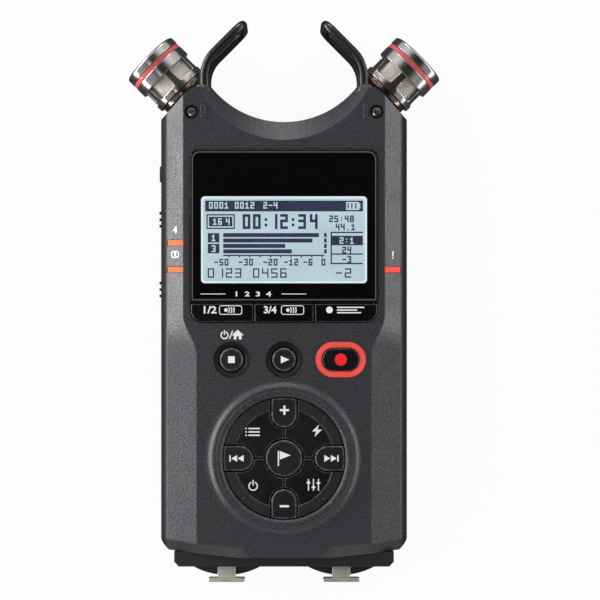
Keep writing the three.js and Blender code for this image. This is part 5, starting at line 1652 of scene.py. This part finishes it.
for side, name in SIDES:
    cups = []
    for angle in PIN_TURNS:
        where = moved(side * SOCKET_X + PIN_CIRCLE * math.cos(math.radians(angle)), CORE_FACE,
                      SOCKET_Z - PIN_CIRCLE * math.sin(math.radians(angle))) @ turn(90, "X")
        cups += [turned(PIN_RIM, steps=24, where=where), turned(PIN_SHADE_FLOOR, steps=24, where=where)]
    # the near-black floor of each pin hole is painted shade
    mesh = joined("pin_holes_" + name, cups, [spring_steel, rubber_and_shade_black] * len(PIN_TURNS))
    settle("pin_holes_" + name, crisp(mesh), "housing")
print(len(PIN_TURNS), "pin holes in each socket")

# %% [markdown]
# The port is a metal shell with a dark tongue in it, and dark cloth keeps dust out behind the speaker's
# slots. The port's inside walls and floor are near-black, which is painted shade. The port's inside is
# drawn flat round the origin, like any plate, and then turned to look out of the side.

# %% Port shade liner and speaker cloth
PORT_WALL = 0.4
PORT_SHADE_LINER = 0.1
PORT_DEEP = 5.4
SHADE_LINER_DEEP = 4.9
TONGUE = (2.6, 0.35)
TONGUE_DEEP = 4.6
CLOTH = (-16.4, 42.0, 8.2)
CLOTH_LOW, CLOTH_TOP = 2.04, 2.2

port_low, port_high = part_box("usb_port")
port_middle = (port_low + port_high) / 2
port_wide = (port_high.y - port_low.y) / MM / 2 - PORT_WALL
port_tall = (port_high.z - port_low.z) / MM / 2 - PORT_WALL


def centred(wide, tall):
    """A box loop round the origin of the drawing, from its half sizes."""
    return box_loop(-wide, -tall, wide, tall)


def in_port(name, loops, deep, finish):
    """A plate drawn round the origin that looks out of the port from its floor."""
    mesh = plate(name, loops, 0, deep, finish)
    mesh.transform(
        Matrix.Translation((port_high.x - PORT_DEEP * MM, port_middle.y, port_middle.z))
        @ turn(90, "Z") @ turn(90, "X") @ Matrix.Translation(-place(0, 0, 0)))
    return mesh


# the near-black walls and floor inside the port are painted shade
settle("port_inside", joined("port_inside", [
    in_port("port_shade_liner", [
        centred(port_wide, port_tall), centred(port_wide - PORT_SHADE_LINER, port_tall - PORT_SHADE_LINER)[::-1]],
        SHADE_LINER_DEEP, shade_liner_black),
    in_port("port_shade_floor", [centred(port_wide, port_tall)], PORT_SHADE_LINER, rubber_and_shade_black),
    in_port("port_tongue", [centred(*TONGUE)], TONGUE_DEEP, chip_black)],
    [shade_liner_black, rubber_and_shade_black, chip_black]), "housing")
settle("speaker_cloth", plate(
    "speaker_cloth", [circle_loop(*CLOTH)], CLOTH_LOW, CLOTH_TOP, dust_cloth), "housing")
print("port", round(port_wide * 2, 2), "x", round(port_tall * 2, 2), "mm inside")

# %% [markdown]
# ## The woven wire of the microphones
#
# Behind the six windows lies a tube of woven wire. Uprights run in and out of the rings, and each
# ring does the same the other way round. The tree makes one upright and one ring, and repeats them.

# %% The woven tube tree
weave = Growth("woven tube", {
    "Radius": 0.0072, "Wire radius": 0.00007, "Uprights": 96, "Rings": 17, "Height": 0.006})
given = weave.given
number = weave.put("GeometryNodeInputIndex")


def zigzag(curve, direction):
    """Every other point of a curve moved in and the rest moved out by one wire radius."""
    swing = weave.calc("MULTIPLY", weave.calc("SUBTRACT", weave.calc("MODULO", number, 2.0), 0.5), 2.0)
    offset = weave.put("ShaderNodeVectorMath", {
        0: direction, "Scale": weave.calc("MULTIPLY", swing, given["Wire radius"])}, operation="SCALE")
    return weave.put("GeometryNodeSetPosition", {"Geometry": curve, "Offset": offset})


def wired(curve, caps):
    """A curve swept by the wire's section."""
    section = weave.put("GeometryNodeCurvePrimitiveCircle", {
        "Resolution": 4, "Radius": given["Wire radius"]})
    return weave.put("GeometryNodeCurveToMesh", {
        "Curve": curve, "Profile Curve": section, "Fill Caps": caps})


low_end = weave.calc("MULTIPLY", given["Height"], -0.5)
straight = weave.put("GeometryNodeCurvePrimitiveLine", {
    "Start": weave.point(X=given["Radius"], Z=low_end),
    "End": weave.point(X=given["Radius"], Z=weave.calc("MULTIPLY", given["Height"], 0.5))})
stepped = weave.put("GeometryNodeResampleCurve", {"Curve": straight, "Count": given["Rings"]})
flip = weave.calc("MULTIPLY", weave.calc("MODULO", number, 2.0), math.pi)
round_turn = weave.calc("DIVIDE", weave.calc("MULTIPLY", number, 2 * math.pi), given["Uprights"])
uprights = weave.put("GeometryNodeInstanceOnPoints", {
    "Points": weave.put("GeometryNodeMeshLine", {
        "Count": given["Uprights"], "Offset": (0.0, 0.0, 0.0)}),
    "Instance": wired(zigzag(stepped, (1.0, 0.0, 0.0)), True),
    "Rotation": weave.point(X=flip, Z=round_turn)})
round_wire = weave.put("GeometryNodeCurvePrimitiveCircle", {
    "Resolution": given["Uprights"], "Radius": given["Radius"]})
outwards = weave.vector("NORMALIZE", weave.put("GeometryNodeInputPosition"))
pitch = weave.calc("DIVIDE", given["Height"], weave.calc("SUBTRACT", given["Rings"], 1.0))
every_other = weave.calc("MODULO", weave.calc("ADD", number, 1.0), 2.0)
shift = weave.calc("MULTIPLY", every_other, weave.calc("DIVIDE", 2 * math.pi, given["Uprights"]))
hoops = weave.put("GeometryNodeInstanceOnPoints", {
    "Points": weave.put("GeometryNodeMeshLine", {
        "Count": given["Rings"], "Start Location": weave.point(Z=low_end),
        "Offset": weave.point(Z=pitch)}),
    "Instance": wired(zigzag(round_wire, outwards), False), "Rotation": weave.point(Z=shift)})
weave.end(weave.put("GeometryNodeJoinGeometry", {0: [uprights, hoops]}))

# %% [markdown]
# Both microphones get the same tube. It is made round the origin and then laid along the axis of
# its microphone, which it swings with.

# %% Woven wire
WEAVE_MIDDLE = 13.8
WEAVE = {
    "Radius": 7.2 * MM, "Wire radius": 0.1 * MM, "Uprights": 76, "Rings": 11, "Height": 5.6 * MM,
    "Finish": wire_metal}

for side, name in SIDES:
    tube = grown("mic_weave_" + name, weave, WEAVE)
    # at rest the microphone's axis leans outwards by half a right angle
    tube.transform(moved(side * PIVOT[0], *PIVOT[1:]) @ turn(-side * 45, "Z") @ turn(-90, "X")
                   @ Matrix.Translation((0, 0, WEAVE_MIDDLE * MM)))
    settle("mic_weave_" + name, tube, "mic_" + name)
print("woven tube", len(tube.polygons), "faces")

# %% [markdown]
# ## Solids that stay
#
# Solids whose shape is right only need their finish. It goes into the object's own material slot.

# %% Finishes of the solids that stay
STAY = {
    lcd_light: ("lcd_module",), board_green: ("main_board",), cone_paper: ("speaker",),
    turned_brass: ("tripod_bush",), satin_nickel: ("pivot_pin_left", "pivot_pin_right", "usb_port"),
    cell_sleeve: ("battery_left", "battery_middle", "battery_right"),
    spring_steel: ("battery_contacts", "battery_springs"),
    wire_metal: ("mic_mesh_left", "mic_mesh_right")}
for finish, nodes in STAY.items():
    for node in nodes:
        for slot_place in frame["nodes"][node].material_slots:
            slot_place.material = finish
print(sum(len(nodes) for nodes in STAY.values()), "solids keep their shape")
